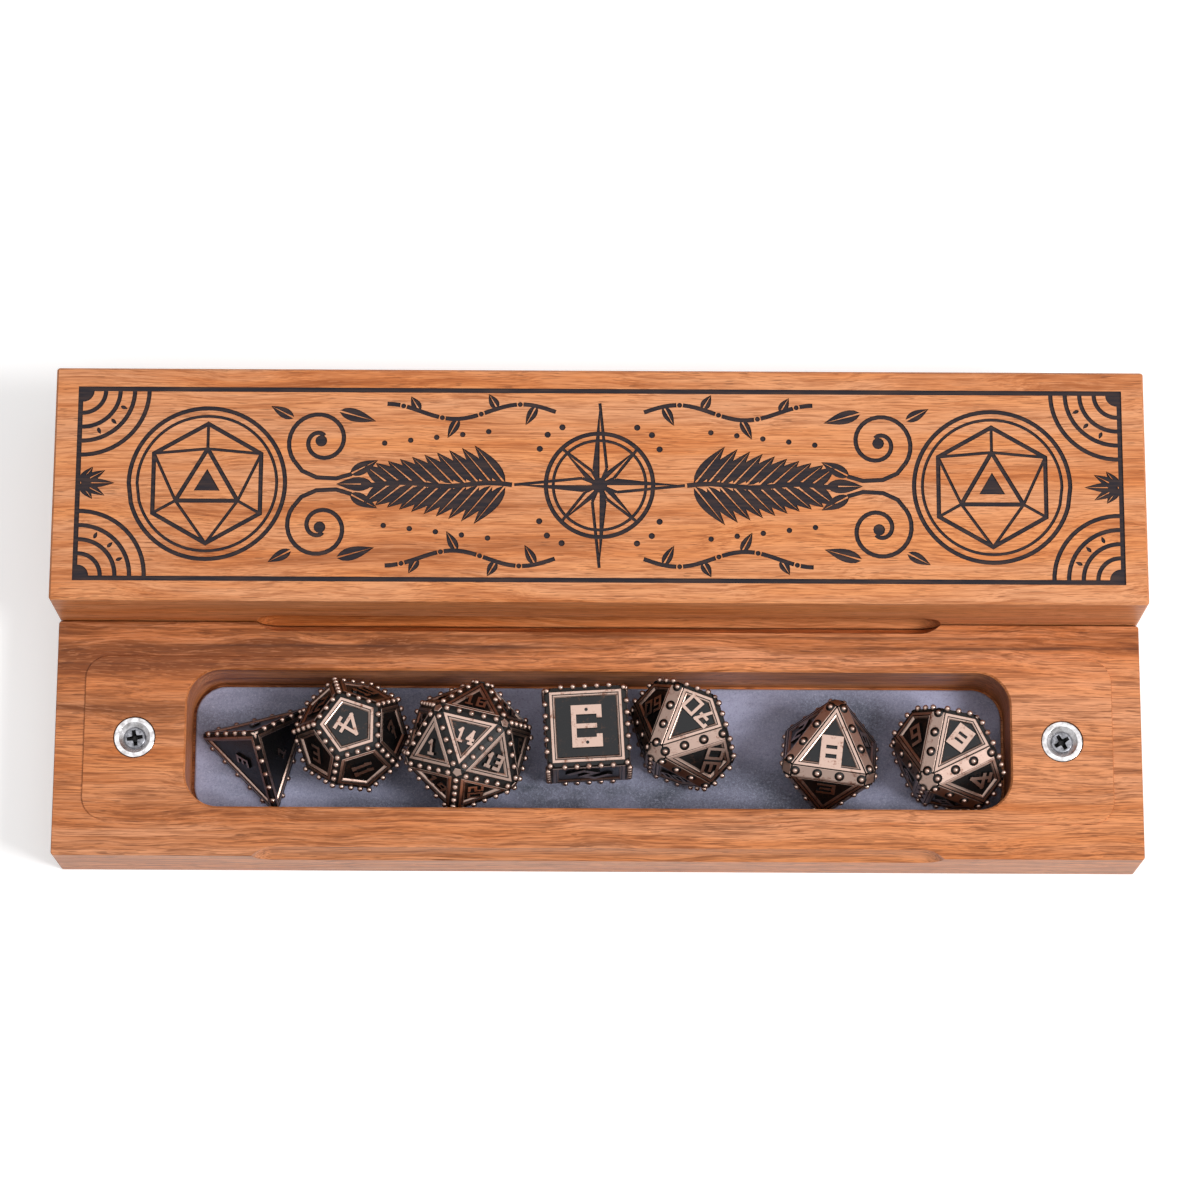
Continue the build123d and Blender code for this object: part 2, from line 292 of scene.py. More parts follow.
@dataclass(frozen=True)
class WoodFinish:
    """Oiled hardwood whose grain runs along the box, darker towards one side in uneven patches.

    The dark side is how much a millimetre along and across adds to the darkening, and the sum from which it
    shows.
    Each vein is a dark line along the grain: its place across, half its width, and its strength.
    """

    name: str
    pale: Shade
    body: Shade
    streak: Shade
    pore: Shade
    streak_share: float
    slope_deg: float
    shift: Triple
    heart: Triple = (0.0, 0.0, 1.0)
    heart_depth: float = 0.0
    veins: tuple[Triple, ...] = ()
    streak_strength: float = 0.5
    line_strength: float = 0.5
    pith: tuple[float, float] = (-12.0, 46.0)
    ring_mm: float = 2.7
    wander_mm: float = 7.5
    ripple_mm: float = 3.6
    drift_mm: float = 3.0
    heart_fade: float = 0.8
    zone_scale: Triple = (5, 60, 60)
    band_scale: Triple = (10, 240, 240)
    warmth_scale: Triple = (11, 170, 170)
    streak_scale: Triple = (34, 1000, 1000)
    line_scale: Triple = (62, 2700, 2700)
    fleck_scale: Triple = (240, 3400, 3400)
    fibre_scale: Triple = (150, 5200, 5200)
    crowd_scale: Triple = (26, 300, 300)
    pore_scale: Triple = (330, 4300, 4300)

    def material(self) -> Finish:
        """Build the finish.

        Returns:
            The material.
        """
        made, graph = new_material(self.name)
        sway = self.sway(graph)
        bands = graph.noise(self.swayed(graph, self.band_scale, sway), 3.0, 0.6)
        zones = graph.noise(graph.place(self.zone_scale, self.shift), 1.0)
        depth = graph.math("ADD", graph.math("MULTIPLY", bands, 0.7), graph.math("MULTIPLY", zones, 0.3))
        depth = graph.math("SUBTRACT", depth, graph.math("MULTIPLY", self.heartwood(graph), self.heart_depth))
        middle = self.streak_share
        ground = graph.ramp(depth, (middle - 0.11, self.streak), (middle - 0.02, self.body),
                            (middle + 0.09, self.pale))
        streaks = graph.noise(self.swayed(graph, self.streak_scale, sway), 3.0, 0.65)
        ground = graph.tinted(ground, streaks, (0.50, 0.66, self.streak_strength, self.streak),
                              (0.46, 0.32, 0.45, self.pale))
        lines = graph.noise(self.swayed(graph, self.line_scale, sway), 3.0, 0.68)
        ground = graph.tinted(ground, lines, (0.48, 0.64, self.line_strength, self.streak))
        flecks = graph.noise(self.swayed(graph, self.fleck_scale, sway), 2.0, 0.6)
        ground = graph.tinted(ground, flecks, (0.52, 0.66, 0.30, self.streak), (0.46, 0.34, 0.30, self.pale))
        for across, half, strength in self.veins:
            ground = graph.mix(self.vein(graph, across, half, strength, lines), ground, self.pore)
        pore_share = self.pore_share(graph)
        colour = graph.mix(pore_share, ground, self.pore)
        fibre = graph.noise(graph.place(self.fibre_scale, self.shift, (0, 0, self.slope_deg)), 2.0, 0.6)
        tint = graph.ramp(fibre, (0.30, srgb(205, 194, 186)), (0.62, srgb(255, 255, 255)))
        colour = graph.mix(0.7, colour, tint, "MULTIPLY")
        warmth = graph.noise(self.swayed(graph, self.warmth_scale, sway), 2.0, 0.6)
        tint = graph.ramp(warmth, (0.38, srgb(255, 240, 212)), (0.62, srgb(253, 254, 255)))
        colour = graph.mix(1.0, colour, tint, "MULTIPLY")
        colour = self.cut_ends(graph, colour)
        rough = graph.math("ADD", graph.math("MULTIPLY", fibre, 0.18), 0.36)
        relief = graph.math("SUBTRACT", graph.math("MULTIPLY", fibre, 0.35), pore_share)
        graph.surface({"Base Color": colour, "Roughness": rough, "Normal": graph.bump(relief, 0.5, 0.05),
                       "Specular IOR Level": 0.2, "Coat Weight": 0.08, "Coat Roughness": 0.3,
                       "Coat IOR": 1.45})
        return made

    def pore_share(self, graph: Graph) -> Socket:
        """Open pores along the grain, closer together in patches.

        Args:
            graph: The material's graph.

        Returns:
            The socket of their share.
        """
        pores = graph.noise(graph.place(self.pore_scale, self.shift, (0, 0, self.slope_deg)), 0.0)
        crowd = graph.noise(graph.place(self.crowd_scale, self.shift), 1.0)
        open_from = graph.math("SUBTRACT", 0.84, graph.math("MULTIPLY", crowd, 0.30))
        opened = graph.math("MULTIPLY", graph.math("SUBTRACT", pores, open_from), 12.0)
        return graph.share(opened, 0.0, 1.0, 0.0, 0.45)

    def cut_ends(self, graph: Graph, colour: Socket) -> Socket:
        """Lay growth rings and open pores over the faces that are cut across the grain.

        Args:
            graph: The material's graph.
            colour: The colour along the grain.

        Returns:
            The colour with its ends.
        """
        normal = graph.node("ShaderNodeTexCoord").outputs["Normal"]
        facing = graph.math("ABSOLUTE", graph.node("ShaderNodeSeparateXYZ", {0: normal}).outputs["X"], 0.0)
        from_heart = graph.place((0, 1, 1), (0, self.pith[0] * MM, self.pith[1] * MM))
        reach = graph.node("ShaderNodeVectorMath", {0: from_heart}, operation="LENGTH").outputs["Value"]
        wobble = graph.noise(graph.place((0, 150, 150)), 3.0)
        rings = graph.math("ADD", graph.math("MULTIPLY", reach, math.tau / (self.ring_mm * MM)),
                           graph.math("MULTIPLY", wobble, 16.0))
        late = graph.share(graph.math("SINE", rings, 0.0), -0.6, 1.0, 0.30, 0.52)
        ends = graph.mix(late, self.body, self.streak)
        rays = graph.noise(graph.place((0, 900, 5200)), 2.0, 0.6)
        ends = graph.tinted(ends, rays, (0.45, 0.7, 0.4, self.streak))
        holes = graph.noise(graph.place((0, 4600, 4600)), 1.0)
        ends = graph.tinted(ends, holes, (0.58, 0.68, 0.7, self.pore))
        return graph.mix(graph.share(facing, 0.55, 0.85), colour, ends)

    def sway(self, graph: Graph) -> Socket:
        """Let the grain wander from a straight line, widely and in a small ripple.

        Args:
            graph: The material's graph.

        Returns:
            The socket of its way aside.
        """
        wander = graph.noise(graph.place((9, 34, 34), self.shift), 1.0)
        ripple = graph.noise(graph.place((42, 120, 120), self.shift), 1.0)
        far = graph.math("MULTIPLY", graph.math("SUBTRACT", wander, 0.5), self.wander_mm * MM)
        near = graph.math("MULTIPLY", graph.math("SUBTRACT", ripple, 0.5), self.ripple_mm * MM)
        return graph.math("ADD", far, near)

    def swayed(self, graph: Graph, scale: Sequence[float], sway: Socket) -> Socket:
        """Stretch the coordinates along grain that wanders.

        Args:
            graph: The material's graph.
            scale: Factor along each axis.
            sway: The grain's way aside.

        Returns:
            The vector socket.
        """
        own = graph.own()
        aside = graph.node("ShaderNodeCombineXYZ", {1: sway, 2: sway}).outputs[0]
        moved = graph.node("ShaderNodeVectorMath", {0: own, 1: aside}, operation="ADD").outputs[0]
        turn = (0.0, 0.0, math.radians(self.slope_deg))
        feeds = {"Vector": moved, "Scale": scale, "Location": self.shift, "Rotation": turn}
        return graph.node("ShaderNodeMapping", feeds).outputs["Vector"]

    def heartwood(self, graph: Graph) -> Socket:
        """Darken the wood towards one side, in uneven patches.

        Args:
            graph: The material's graph.

        Returns:
            The socket of the share of the darkening, from 0 to 1.
        """
        along, across, level = self.heart
        total = graph.slope(along, across)
        patches = graph.noise(graph.place((14, 70, 70), self.shift), 1.0)
        total = graph.math("ADD", total, graph.math("MULTIPLY", graph.math("SUBTRACT", patches, 0.5), 0.5))
        return graph.share(total, level, level + self.heart_fade)

    def vein(self, graph: Graph, across: float, half: float, strength: float, lines: Socket) -> Socket:
        """Give the share of one dark vein.

        Args:
            graph: The material's graph.
            across: Its place across the grain in millimetres.
            half: Half its width in millimetres.
            strength: Its share at its middle.
            lines: Fine lines that break it up.

        Returns:
            The share's socket.
        """
        own = graph.own()
        place = graph.node("ShaderNodeSeparateXYZ", {0: own}).outputs["Y"]
        drift = graph.noise(graph.place((8, 0, 0), (across, self.shift[0], 0.0)), 1.0)
        drift = graph.math("MULTIPLY", graph.math("SUBTRACT", drift, 0.5), self.drift_mm * MM)
        gap = graph.math("SUBTRACT", graph.math("ADD", place, drift), across * MM)
        body = graph.share(graph.math("ABSOLUTE", gap, 0.0), half * MM, 0.0, 0.0, strength)
        broken = graph.noise(graph.place((16, 40, 40), (across, 0.0, 0.0)), 2.0)
        body = graph.math("MULTIPLY", body, graph.share(broken, 0.36, 0.55, 0.25, 1.0))
        return graph.math("MULTIPLY", body, graph.share(lines, 0.2, 0.6, 0.55, 1.0))


@dataclass(frozen=True)
class BurntFinish:
    """The charred floor of laser lines."""

    name: str = "burnt_line"
    dark: Shade = srgb(33, 28, 34)
    brown: Shade = srgb(66, 50, 46)

    def material(self) -> Finish:
        """Build the finish.

        Returns:
            The material.
        """
        made, graph = new_material(self.name)
        patches = graph.noise(graph.place((120, 1400, 1400)), 3.0, 0.6)
        colour = graph.ramp(patches, (0.42, self.dark), (0.74, self.brown))
        normal = graph.bump(patches, 0.5, 0.08)
        graph.surface({"Base Color": colour, "Roughness": 0.82, "Normal": normal,
                       "Specular IOR Level": 0.3})
        return made


@dataclass(frozen=True)
class FeltFinish:
    """Short-napped felt whose pile lies in patches.

    The light slope is how much a millimetre along and across adds to the felt's lightness: painted light,
    lighter towards the left end and the rear.
    """

    name: str = "lining_felt"
    light: Shade = srgb(160, 162, 188)
    dark: Shade = srgb(66, 71, 79)
    fibre: Shade = srgb(184, 188, 208)
    pit: Shade = srgb(52, 52, 64)
    lean: tuple[float, float] = (-0.0009, 0.003)
    lean_level: float = 0.11

    def material(self) -> Finish:
        """Build the finish.

        Returns:
            The material.
        """
        made, graph = new_material(self.name)
        lie = graph.noise(graph.place((24, 48, 40)), 3.0, 0.55, 0.8)
        # Painted light: the felt is made lighter towards the left end and the rear.
        lie = graph.math("ADD", graph.math("ADD", lie, graph.slope(*self.lean)), self.lean_level)
        colour = graph.ramp(lie, (0.30, self.dark), (0.66, self.light))
        pile = graph.noise(graph.place((2600, 2600, 2600)), 3.0, 0.7, 0.8)
        strands = graph.noise(graph.place((700, 3800, 700), turn_deg=(0, 0, 33)), 2.0, 0.5, 1.2)
        colour = graph.tinted(colour, pile, (0.45, 0.8, 0.5, self.fibre))
        colour = graph.tinted(colour, strands, (0.62, 0.75, 0.35, self.fibre))
        shade = graph.share(pile, 0.25, 0.5, 0.35, 0.0)
        colour = graph.mix(shade, colour, self.pit)
        height = graph.math("ADD", pile, graph.math("MULTIPLY", strands, 0.5))
        normal = graph.bump(height, 0.7, 0.12)
        graph.surface({"Base Color": colour, "Roughness": 0.96, "Normal": normal,
                       "Specular IOR Level": 0.15, "Sheen Weight": 0.35, "Sheen Roughness": 0.45})
        return made


@dataclass(frozen=True)
class MetalFinish:
    """Plain plated metal with fine scuffs."""

    name: str
    colour: Shade
    worn: Shade
    roughness: float
    scale: float

    def material(self) -> Finish:
        """Build the finish.

        Returns:
            The material.
        """
        made, graph = new_material(self.name)
        cloud = graph.noise(graph.place((self.scale,) * 3), 3.0, 0.6)
        scuff = graph.noise(graph.place((self.scale * 9, self.scale * 2, self.scale * 2)), 2.0)
        colour = graph.ramp(cloud, (0.35, self.worn), (0.62, self.colour))
        rough = graph.math("ADD", graph.math("MULTIPLY", scuff, 0.22), self.roughness - 0.08)
        normal = graph.bump(scuff, 0.25, 0.01)
        graph.surface({"Base Color": colour, "Metallic": 1.0, "Roughness": rough, "Normal": normal})
        return made


@dataclass(frozen=True)
class PatinaFinish:
    """Antique plate: near black in the hollows, with the base metal rubbed through in places."""

    name: str
    ground: Shade
    rubbed: Shade
    rubbed_from: float
    metallic: float
    roughness: float

    def material(self) -> Finish:
        """Build the finish.

        Returns:
            The material.
        """
        made, graph = new_material(self.name)
        stain = graph.noise(graph.place((520, 520, 520)), 4.0, 0.65)
        grains = graph.noise(graph.place((2900, 2900, 2900)), 2.0, 0.6)
        mingled = graph.math("ADD", graph.math("MULTIPLY", stain, 0.72), graph.math("MULTIPLY", grains, 0.28))
        worn = graph.share(mingled, self.rubbed_from, self.rubbed_from + 0.16)
        colour = graph.mix(worn, self.ground, self.rubbed)
        rough = graph.math("ADD", graph.math("MULTIPLY", grains, 0.24), self.roughness - 0.12)
        normal = graph.bump(grains, 0.35, 0.02)
        graph.surface({"Base Color": colour, "Metallic": self.metallic, "Roughness": rough, "Normal": normal})
        return made


LID_WOOD = WoodFinish("walnut_lid", srgb(236, 165, 118), srgb(220, 142, 91), srgb(168, 94, 47),
                      srgb(100, 54, 26), 0.43, 0.6, (0.31, 0.0, 0.0), streak_strength=0.46,
                      line_strength=0.55)
TRAY_WOOD = WoodFinish("walnut_tray", srgb(229, 157, 112), srgb(203, 126, 76), srgb(130, 71, 33),
                       srgb(84, 42, 18), 0.45, -0.8, (4.2, 1.7, 0.6), (-0.006, 0.024, -0.35), 0.13,
                       ((-4.9, 0.6, 0.9), (-3.0, 0.45, 0.55), (-1.6, 0.4, 0.45), (-7.9, 0.35, 0.35)),
                       0.55, 0.65)
BASE_WOOD = WoodFinish("walnut_base", srgb(226, 150, 98), srgb(204, 124, 70), srgb(150, 84, 42),
                       srgb(90, 48, 22), 0.46, 0.4, (7.9, 2.2, 1.4))
NICKEL = MetalFinish("magnet_nickel", srgb(200, 198, 200), srgb(148, 145, 145), 0.26, 900)
STEEL = MetalFinish("screw_steel", srgb(134, 134, 139), srgb(80, 80, 84), 0.30, 1300)
# Dark grey for the screws' cross recesses: painted shade inside the recess.
RECESS_SHADE = MetalFinish("screw_recess", srgb(46, 45, 46), srgb(26, 25, 26), 0.55, 1300)
COPPER = PatinaFinish("dice_rubbed_copper", srgb(163, 139, 128), srgb(106, 69, 55), 0.53, 1.0, 0.33)
DARK_METAL = PatinaFinish("dice_dark_patina", srgb(35, 35, 36), srgb(72, 53, 44), 0.55, 0.85, 0.31)
HOLLOW_METAL = PatinaFinish("dice_black_hollow", srgb(17, 15, 15), srgb(46, 33, 27), 0.57, 0.6, 0.45)


class Coat(IntEnum):
    """Which of a piece's finishes a face has, by its number."""

    MAIN = 0
    DARK = 1
    HOLLOW = 2


def band(shape: Draft, one: Sequence, other: Sequence, coat: Coat = Coat.MAIN) -> None:
    """Join two closed rings of vertices by quads.

    Args:
        shape: The bmesh that gets them.
        one: A ring.
        other: The ring next to it, with as many vertices.
        coat: The quads' finish.
    """
    for k, vert in enumerate(one):
        after = (k + 1) % len(one)
        shape.faces.new((vert, one[after], other[after], other[k])).material_index = coat


class Maker:
    """Turns meshes into finished pieces that ride on a body."""

    WELD = 1e-5

    @staticmethod
    def piece(name: str, mesh: bpy.types.Mesh, body: str, slot: str,
              replaced: Sequence[str] = ()) -> bpy.types.Object:
        """Put a finished mesh in the scene.

        Args:
            name: The piece's name.
            mesh: Its mesh, in metres in the row's frame.
            body: The body that it rides on.
            slot: The name of a material slot; not used.
            replaced: CAD nodes that it stands for.

        Returns:
            The piece's object.
        """
        mesh.name = name
        made = add_object(name, mesh)
        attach(made, body)
        if replaced:
            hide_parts(*replaced)
        log.info("%s: %d faces on %s", name, len(mesh.polygons), body)
        return made

    @staticmethod
    def mesh(shape: Draft, materials: Iterable[Finish], smooth_deg: float) -> bpy.types.Mesh:
        """Close a bmesh that is in millimetres and write it in metres.

        Args:
            shape: The bmesh, which is freed.
            materials: Its materials in the order of the faces' numbers.
            smooth_deg: Edges flatter than this are shaded smooth.

        Returns:
            The mesh.
        """
        bmesh.ops.remove_doubles(shape, verts=shape.verts, dist=Maker.WELD)
        bmesh.ops.recalc_face_normals(shape, faces=shape.faces)
        open_edges = sum(len(edge.link_faces) % 2 for edge in shape.edges)
        if open_edges:
            log.warning("a mesh has %d open edges", open_edges)
        shape.transform(Matrix.Scale(MM, 4))
        for face in shape.faces:
            face.smooth = True
        for edge in shape.edges:
            edge.smooth = edge.calc_face_angle(math.pi) < math.radians(smooth_deg)
        made = bpy.data.meshes.new("made")
        shape.to_mesh(made)
        shape.free()
        for material in materials:
            made.materials.append(material)
        return made


class Outline:
    """Flat shapes, joined into one and cut or raised."""

    LEAST_MITRE = 0.35
    SAME_POINT = 1e-4
    INSIDE_ONLY = 1

    @staticmethod
    def wound(shape: Flat) -> Flat:
        """Give a shape's points anticlockwise."""
        area = sum(a.x * b.y - b.x * a.y for a, b in zip(shape, shape[1:] + shape[:1]))
        return shape if area > 0 else shape[::-1]

    @staticmethod
    def joined(shapes: Sequence[Flat], ground: Flat | None = None) -> tuple[Flat, list, list]:
        """Merge overlapping shapes into triangles.

        Args:
            shapes: The shapes, which may overlap.
            ground: A shape that holds them all, whose rest is wanted too.

        Returns:
            The points, the triangles inside the shapes, and those in the rest of the ground.
        """
        points: Flat = []
        faces: list[list[int]] = []
        for shape in ([ground] if ground else []) + list(shapes):
            wound = Outline.wound(shape)
            faces.append(list(range(len(points), len(points) + len(wound))))
            points += wound
        merged = delaunay_2d_cdt(points, [], faces, Outline.INSIDE_ONLY, Outline.SAME_POINT)
        found, _, triangles, _, _, origins = merged
        first = 1 if ground else 0
        inside = [t for t, origin in zip(triangles, origins) if any(o >= first for o in origin)]
        rest = [t for t, origin in zip(triangles, origins) if ground and list(origin) == [0]]
        return list(found), inside, rest

    @staticmethod
    def rim(triangles: Sequence[Sequence[int]]) -> list[tuple[int, int]]:
        """List the edges that only one of the triangles has, in its direction."""
        sides = dict.fromkeys((t[k], t[(k + 1) % 3]) for t in triangles for k in range(3))
        return [side for side in sides if side[::-1] not in sides]

    @staticmethod
    def ribbon(path: Flat, width: float, closed: bool = False) -> list[Flat]:
        """Give a line of even width as quads with mitred corners.

        Args:
            path: The line's points.
            width: Its width.
            closed: Whether it runs back to its start.

        Returns:
            The quads.
        """
        count = len(path)
        sides = []
        for k, here in enumerate(path):
            before = path[k - 1] if closed or k else None
            after = path[(k + 1) % count] if closed or k < count - 1 else None
            into = (here - before).normalized() if before is not None else None
            out = (after - here).normalized() if after is not None else into
            into = into or out
            across = Vector((-into.y - out.y, into.x + out.x)).normalized()
            reach = width / 2 / max(Outline.LEAST_MITRE, across.dot(Vector((-out.y, out.x))))
            sides.append((here + across * reach, here - across * reach))
        pairs = zip(sides, sides[1:] + sides[:1] if closed else sides[1:])
        return [[a[0], b[0], b[1], a[1]] for a, b in pairs]

    @staticmethod
    def arc(centre: Vector, radius: float, start_deg: float, end_deg: float, steps: int) -> Flat:
        """Give points along an arc."""
        turns = [start_deg + (end_deg - start_deg) * k / steps for k in range(steps + 1)]
        return [centre + polar(turn_deg, radius) for turn_deg in turns]

    @staticmethod
    def dot(centre: Vector, radius: float, sides: int = 10) -> Flat:
        """Give a round dot as a polygon."""
        return Outline.arc(centre, radius, 0, 360 - 360 / sides, sides - 1)

    @staticmethod
    def prism(shape: Draft, shapes: Sequence[Flat], place: Matrix, low: float, high: float,
              tops: Coat = Coat.MAIN, sides: Coat = Coat.MAIN) -> None:
        """Add joined flat shapes as a raised block.

        Args:
            shape: The bmesh that gets it.
            shapes: The flat shapes.
            place: Where their plane lies.
            low: Height of the block's foot above the plane.
            high: Height of its top.
            tops: Finish of the top.
            sides: Finish of the sides and the foot.
        """
        points, inside, _ = Outline.joined(shapes)
        used = sorted({k for t in inside for k in t})
        below = {k: shape.verts.new(place @ Vector((points[k].x, points[k].y, low))) for k in used}
        above = {k: shape.verts.new(place @ Vector((points[k].x, points[k].y, high))) for k in used}
        for t in inside:
            shape.faces.new([above[k] for k in t]).material_index = tops
            shape.faces.new([below[k] for k in reversed(t)]).material_index = sides
        for a, b in Outline.rim(inside):
            shape.faces.new([above[b], above[a], below[a], below[b]]).material_index = sides


@dataclass(frozen=True)
class Ornament:
    """The lid's engraved design: a border, a compass rose with leafy sprays, and end medallions.

    Each kind of the rose's points is its reach, the reach of its flanks, and their angle.
    """

    half_length: float = 100.65
    half_width: float = 19.3
    border_line: float = 0.95
    line: float = 0.85
    fine: float = 0.6
    vein: float = 0.17
    leaf_steps: int = 6
    half_leaf_steps: int = 8
    fan_overlap: float = 0.05
    fan_heart: float = 2.2
    fan_radii: tuple[float, ...] = (4.4, 7.2, 10.0, 12.8)
    medallion_from_middle: float = 75.4
    medallion_rings: tuple[float, float] = (15.0, 13.4)
    hexagon_reach: float = 11.9
    triangle_reach: float = 6.9
    heart_share: float = 0.42
    scroll_steps: int = 40
    scroll_reach: float = 6.6
    scroll_eye: float = 1.15
    edge_start: float = 8.5
    edge_span: float = 32.5
    edge_level: float = 14.6
    edge_swing: float = 1.5
    edge_steps: int = 26
    edge_dash: int = 5
    edge_dot: float = 0.5
    stem_start: float = 16.8
    stem_span: float = 29.0
    stem_line: float = 0.95
    branch_start: float = 18.2
    branch_pitch: float = 2.5
    branch_leaves: int = 10
    berry_start: float = 21.4
    berry: float = 0.55
    rose_rings: tuple[float, float] = (10.3, 8.9)
    rose_points: tuple[Triple, ...] = ((16.4, 3.6, 22.5), (10.3, 3.1, 18.0))
    rose_dots: tuple[float, float] = (13.6, 14.2)
    rose_dot: float = 0.62
    rose_eye: float = 1.5

    def shapes(self) -> list[Flat]:
        """Mirror the quarters and halves of the design round its middle.

        Returns:
            All engraved shapes about the lid's centre.
        """
        quarter = [*self.corner_fan(), *self.scroll(), *self.leafy_edge()]
        half = [*self.medallion(), *self.branch(), *self.end_leaves()]
        whole = [*self.border(), *self.compass()]
        for flip_x, flip_y in ((1, 1), (-1, 1), (1, -1), (-1, -1)):
            whole += [[Vector((p.x * flip_x, p.y * flip_y)) for p in s] for s in quarter]
        for flip_x in (1, -1):
            whole += [[Vector((p.x * flip_x, p.y)) for p in s] for s in half]
        return whole

    def border(self) -> Iterator[Flat]:
        """Frame the design with a rectangle."""
        x = self.half_length - self.border_line / 2
        y = self.half_width - self.border_line / 2
        corners = [Vector((x, y)), Vector((-x, y)), Vector((-x, -y)), Vector((x, -y))]
        yield from Outline.ribbon(corners, self.border_line, closed=True)

    def corner_fan(self) -> Iterator[Flat]:
        """Nest arcs in one corner, about a point a little inside the border's line."""
        corner = Vector((self.half_length - self.border_line, self.half_width - self.border_line))
        corner += Vector((self.fan_overlap, self.fan_overlap))
        for radius in self.fan_radii:
            yield from Outline.ribbon(Outline.arc(corner, radius, 178, 272, 16), self.line)
        yield [corner] + Outline.arc(corner, self.fan_heart, 180, 270, 6)
        for turn_deg in (202.5, 225.0, 247.5):
            yield self.leaf(corner, turn_deg, 7.9, 9.4, 0.75)

    def leaf(self, root: Vector, turn_deg: float, start: float, end: float, width: float) -> Flat:
        """Draw a pointed leaf that leaves a root at an angle.

        Args:
            root: The root.
            turn_deg: The angle.
            start: How far from the root the leaf starts.
            end: How far from the root it ends.
            width: Its greatest width.

        Returns:
            The leaf's outline.
        """
        along = polar(turn_deg)
        across = Vector((-along.y, along.x))
        points = []
        for side in (1, -1):
            for k in range(self.leaf_steps):
                share = k / self.leaf_steps if side > 0 else 1 - k / self.leaf_steps
                swell = math.sin(math.pi * share ** 0.8) * width / 2 * side
                points.append(root + along * (start + (end - start) * share) + across * swell)
        return points

    def split_leaf(self, root: Vector, turn_deg: float, length: float, width: float) -> Iterator[Flat]:
        """Draw a leaf as two halves with a bright vein between them.

        Args:
            root: Where it starts.
            turn_deg: The angle at which it leaves.
            length: Its length.
            width: Its width without the vein.
        """
        along = polar(turn_deg)
        across = Vector((-along.y, along.x))
        for side in (1, -1):
            half = [root + across * (side * self.vein)]
            for k in range(1, self.half_leaf_steps):
                share = k / self.half_leaf_steps
                swell = self.vein * (1 - share) + math.sin(math.pi * share ** 0.75) * width / 2
                half.append(root + along * (length * share) + across * (side * swell))
            yield half + [root + along * length]

    def medallion(self) -> Iterator[Flat]:
        """Draw the ringed outline of a twenty-sided die."""
        centre = Vector((self.medallion_from_middle, 0.0))
        hexagon = [centre + polar(turn_deg, self.hexagon_reach) for turn_deg in range(30, 390, 60)]
        triangle = [centre + polar(turn_deg, self.triangle_reach) for turn_deg in (90, 210, 330)]
        yield from Outline.ribbon(hexagon, self.line, closed=True)
        yield from Outline.ribbon(triangle, self.line, closed=True)
        for corner, near in ((0, (0, 1, 2)), (1, (2, 3, 4)), (2, (4, 5, 0))):
            for k in near:
                yield from Outline.ribbon([triangle[corner], hexagon[k]], self.fine)
        yield [centre + (p - centre) * self.heart_share for p in triangle]
        for radius, width in zip(self.medallion_rings, (self.line, self.fine)):
            yield from Outline.ribbon(Outline.arc(centre, radius, 0, 345, 69), width, closed=True)

    def end_leaves(self) -> Iterator[Flat]:
        """Draw the small spray between the two corner fans."""
        root = Vector((self.half_length - self.border_line, 0.0))
        for turn_deg, length in ((180, 6.6), (152, 5.4), (208, 5.4), (126, 4.0), (234, 4.0)):
            yield from self.split_leaf(root, turn_deg, length, 1.7)

    def scroll(self) -> Iterator[Flat]:
        """Draw the curl that leads from a medallion towards the middle."""
        centre = Vector((53.6, 8.6))
        steps = self.scroll_steps
        spiral = [centre + polar(-40 + 520 * k / steps, self.scroll_reach * (1 - 0.82 * k / steps))
                  for k in range(steps + 1)]
        yield from Outline.ribbon(spiral, self.line)
        yield Outline.arc(centre, self.scroll_eye, 0, 330, 11)
        tail = [Vector(p) for p in ((58.6, 4.4), (57.2, 2.6), (54.4, 1.3), (50.6, 1.1), (47.6, 2.0))]
        yield from Outline.ribbon(tail, self.line)
        for root, turn_deg, length, width in (((47.9, 2.0), 152, 6.0, 2.3), ((50.2, 14.6), 196, 7.4, 2.4),
                                              ((59.0, 13.2), 28, 5.0, 1.9)):
            yield from self.split_leaf(Vector(root), turn_deg, length, width)

    def leafy_edge(self) -> Iterator[Flat]:
        """Draw the wavy dashed line with dots and leaves above the branch."""
        steps = self.edge_steps
        path = []
        for k in range(steps + 1):
            x = self.edge_start + self.edge_span * k / steps
            wave = math.sin((x - self.edge_start) / self.edge_span * math.tau * 1.25)
            path.append(Vector((x, self.edge_level + self.edge_swing * wave)))
        for first in range(0, steps, self.edge_dash + 1):
            yield from Outline.ribbon(path[first:first + self.edge_dash + 1], self.line)
        for k in range(self.edge_dash, steps, self.edge_dash + 1):
            where = (path[k] + path[min(k + 1, steps)]) / 2
            yield Outline.dot(where, self.edge_dot)
        for k, turn_deg, length in ((3, -62, 4.4), (9, 60, 3.4), (15, -62, 4.4), (21, 60, 3.4)):
            yield from self.split_leaf(path[k], turn_deg, length, 1.7)

    def branch(self) -> Iterator[Flat]:
        """Draw the dense leafy branch beside the compass rose."""
        stem = [Vector((self.stem_start + self.stem_span * k / 12, 0.35 * math.sin(k * 0.9)))
                for k in range(13)]
        yield from Outline.ribbon(stem, self.stem_line)
        for k in range(self.branch_leaves):
            root = Vector((self.branch_start + self.branch_pitch * k, 0.0))
            length = 9.6 - 0.42 * k
            lean_deg = 52 - 1.6 * k
            for side in (1, -1):
                yield from self.split_leaf(root + Vector((0, side * 0.3)), side * lean_deg, length, 2.7)
        yield from self.split_leaf(Vector((43.6, 0.0)), 0, 7.0, 2.6)
        for k in range(self.branch_leaves // 2):
            for side in (1, -1):
                along = self.berry_start + 2 * self.branch_pitch * k
                yield Outline.dot(Vector((along, side * (10.6 - 0.6 * k))), self.berry)

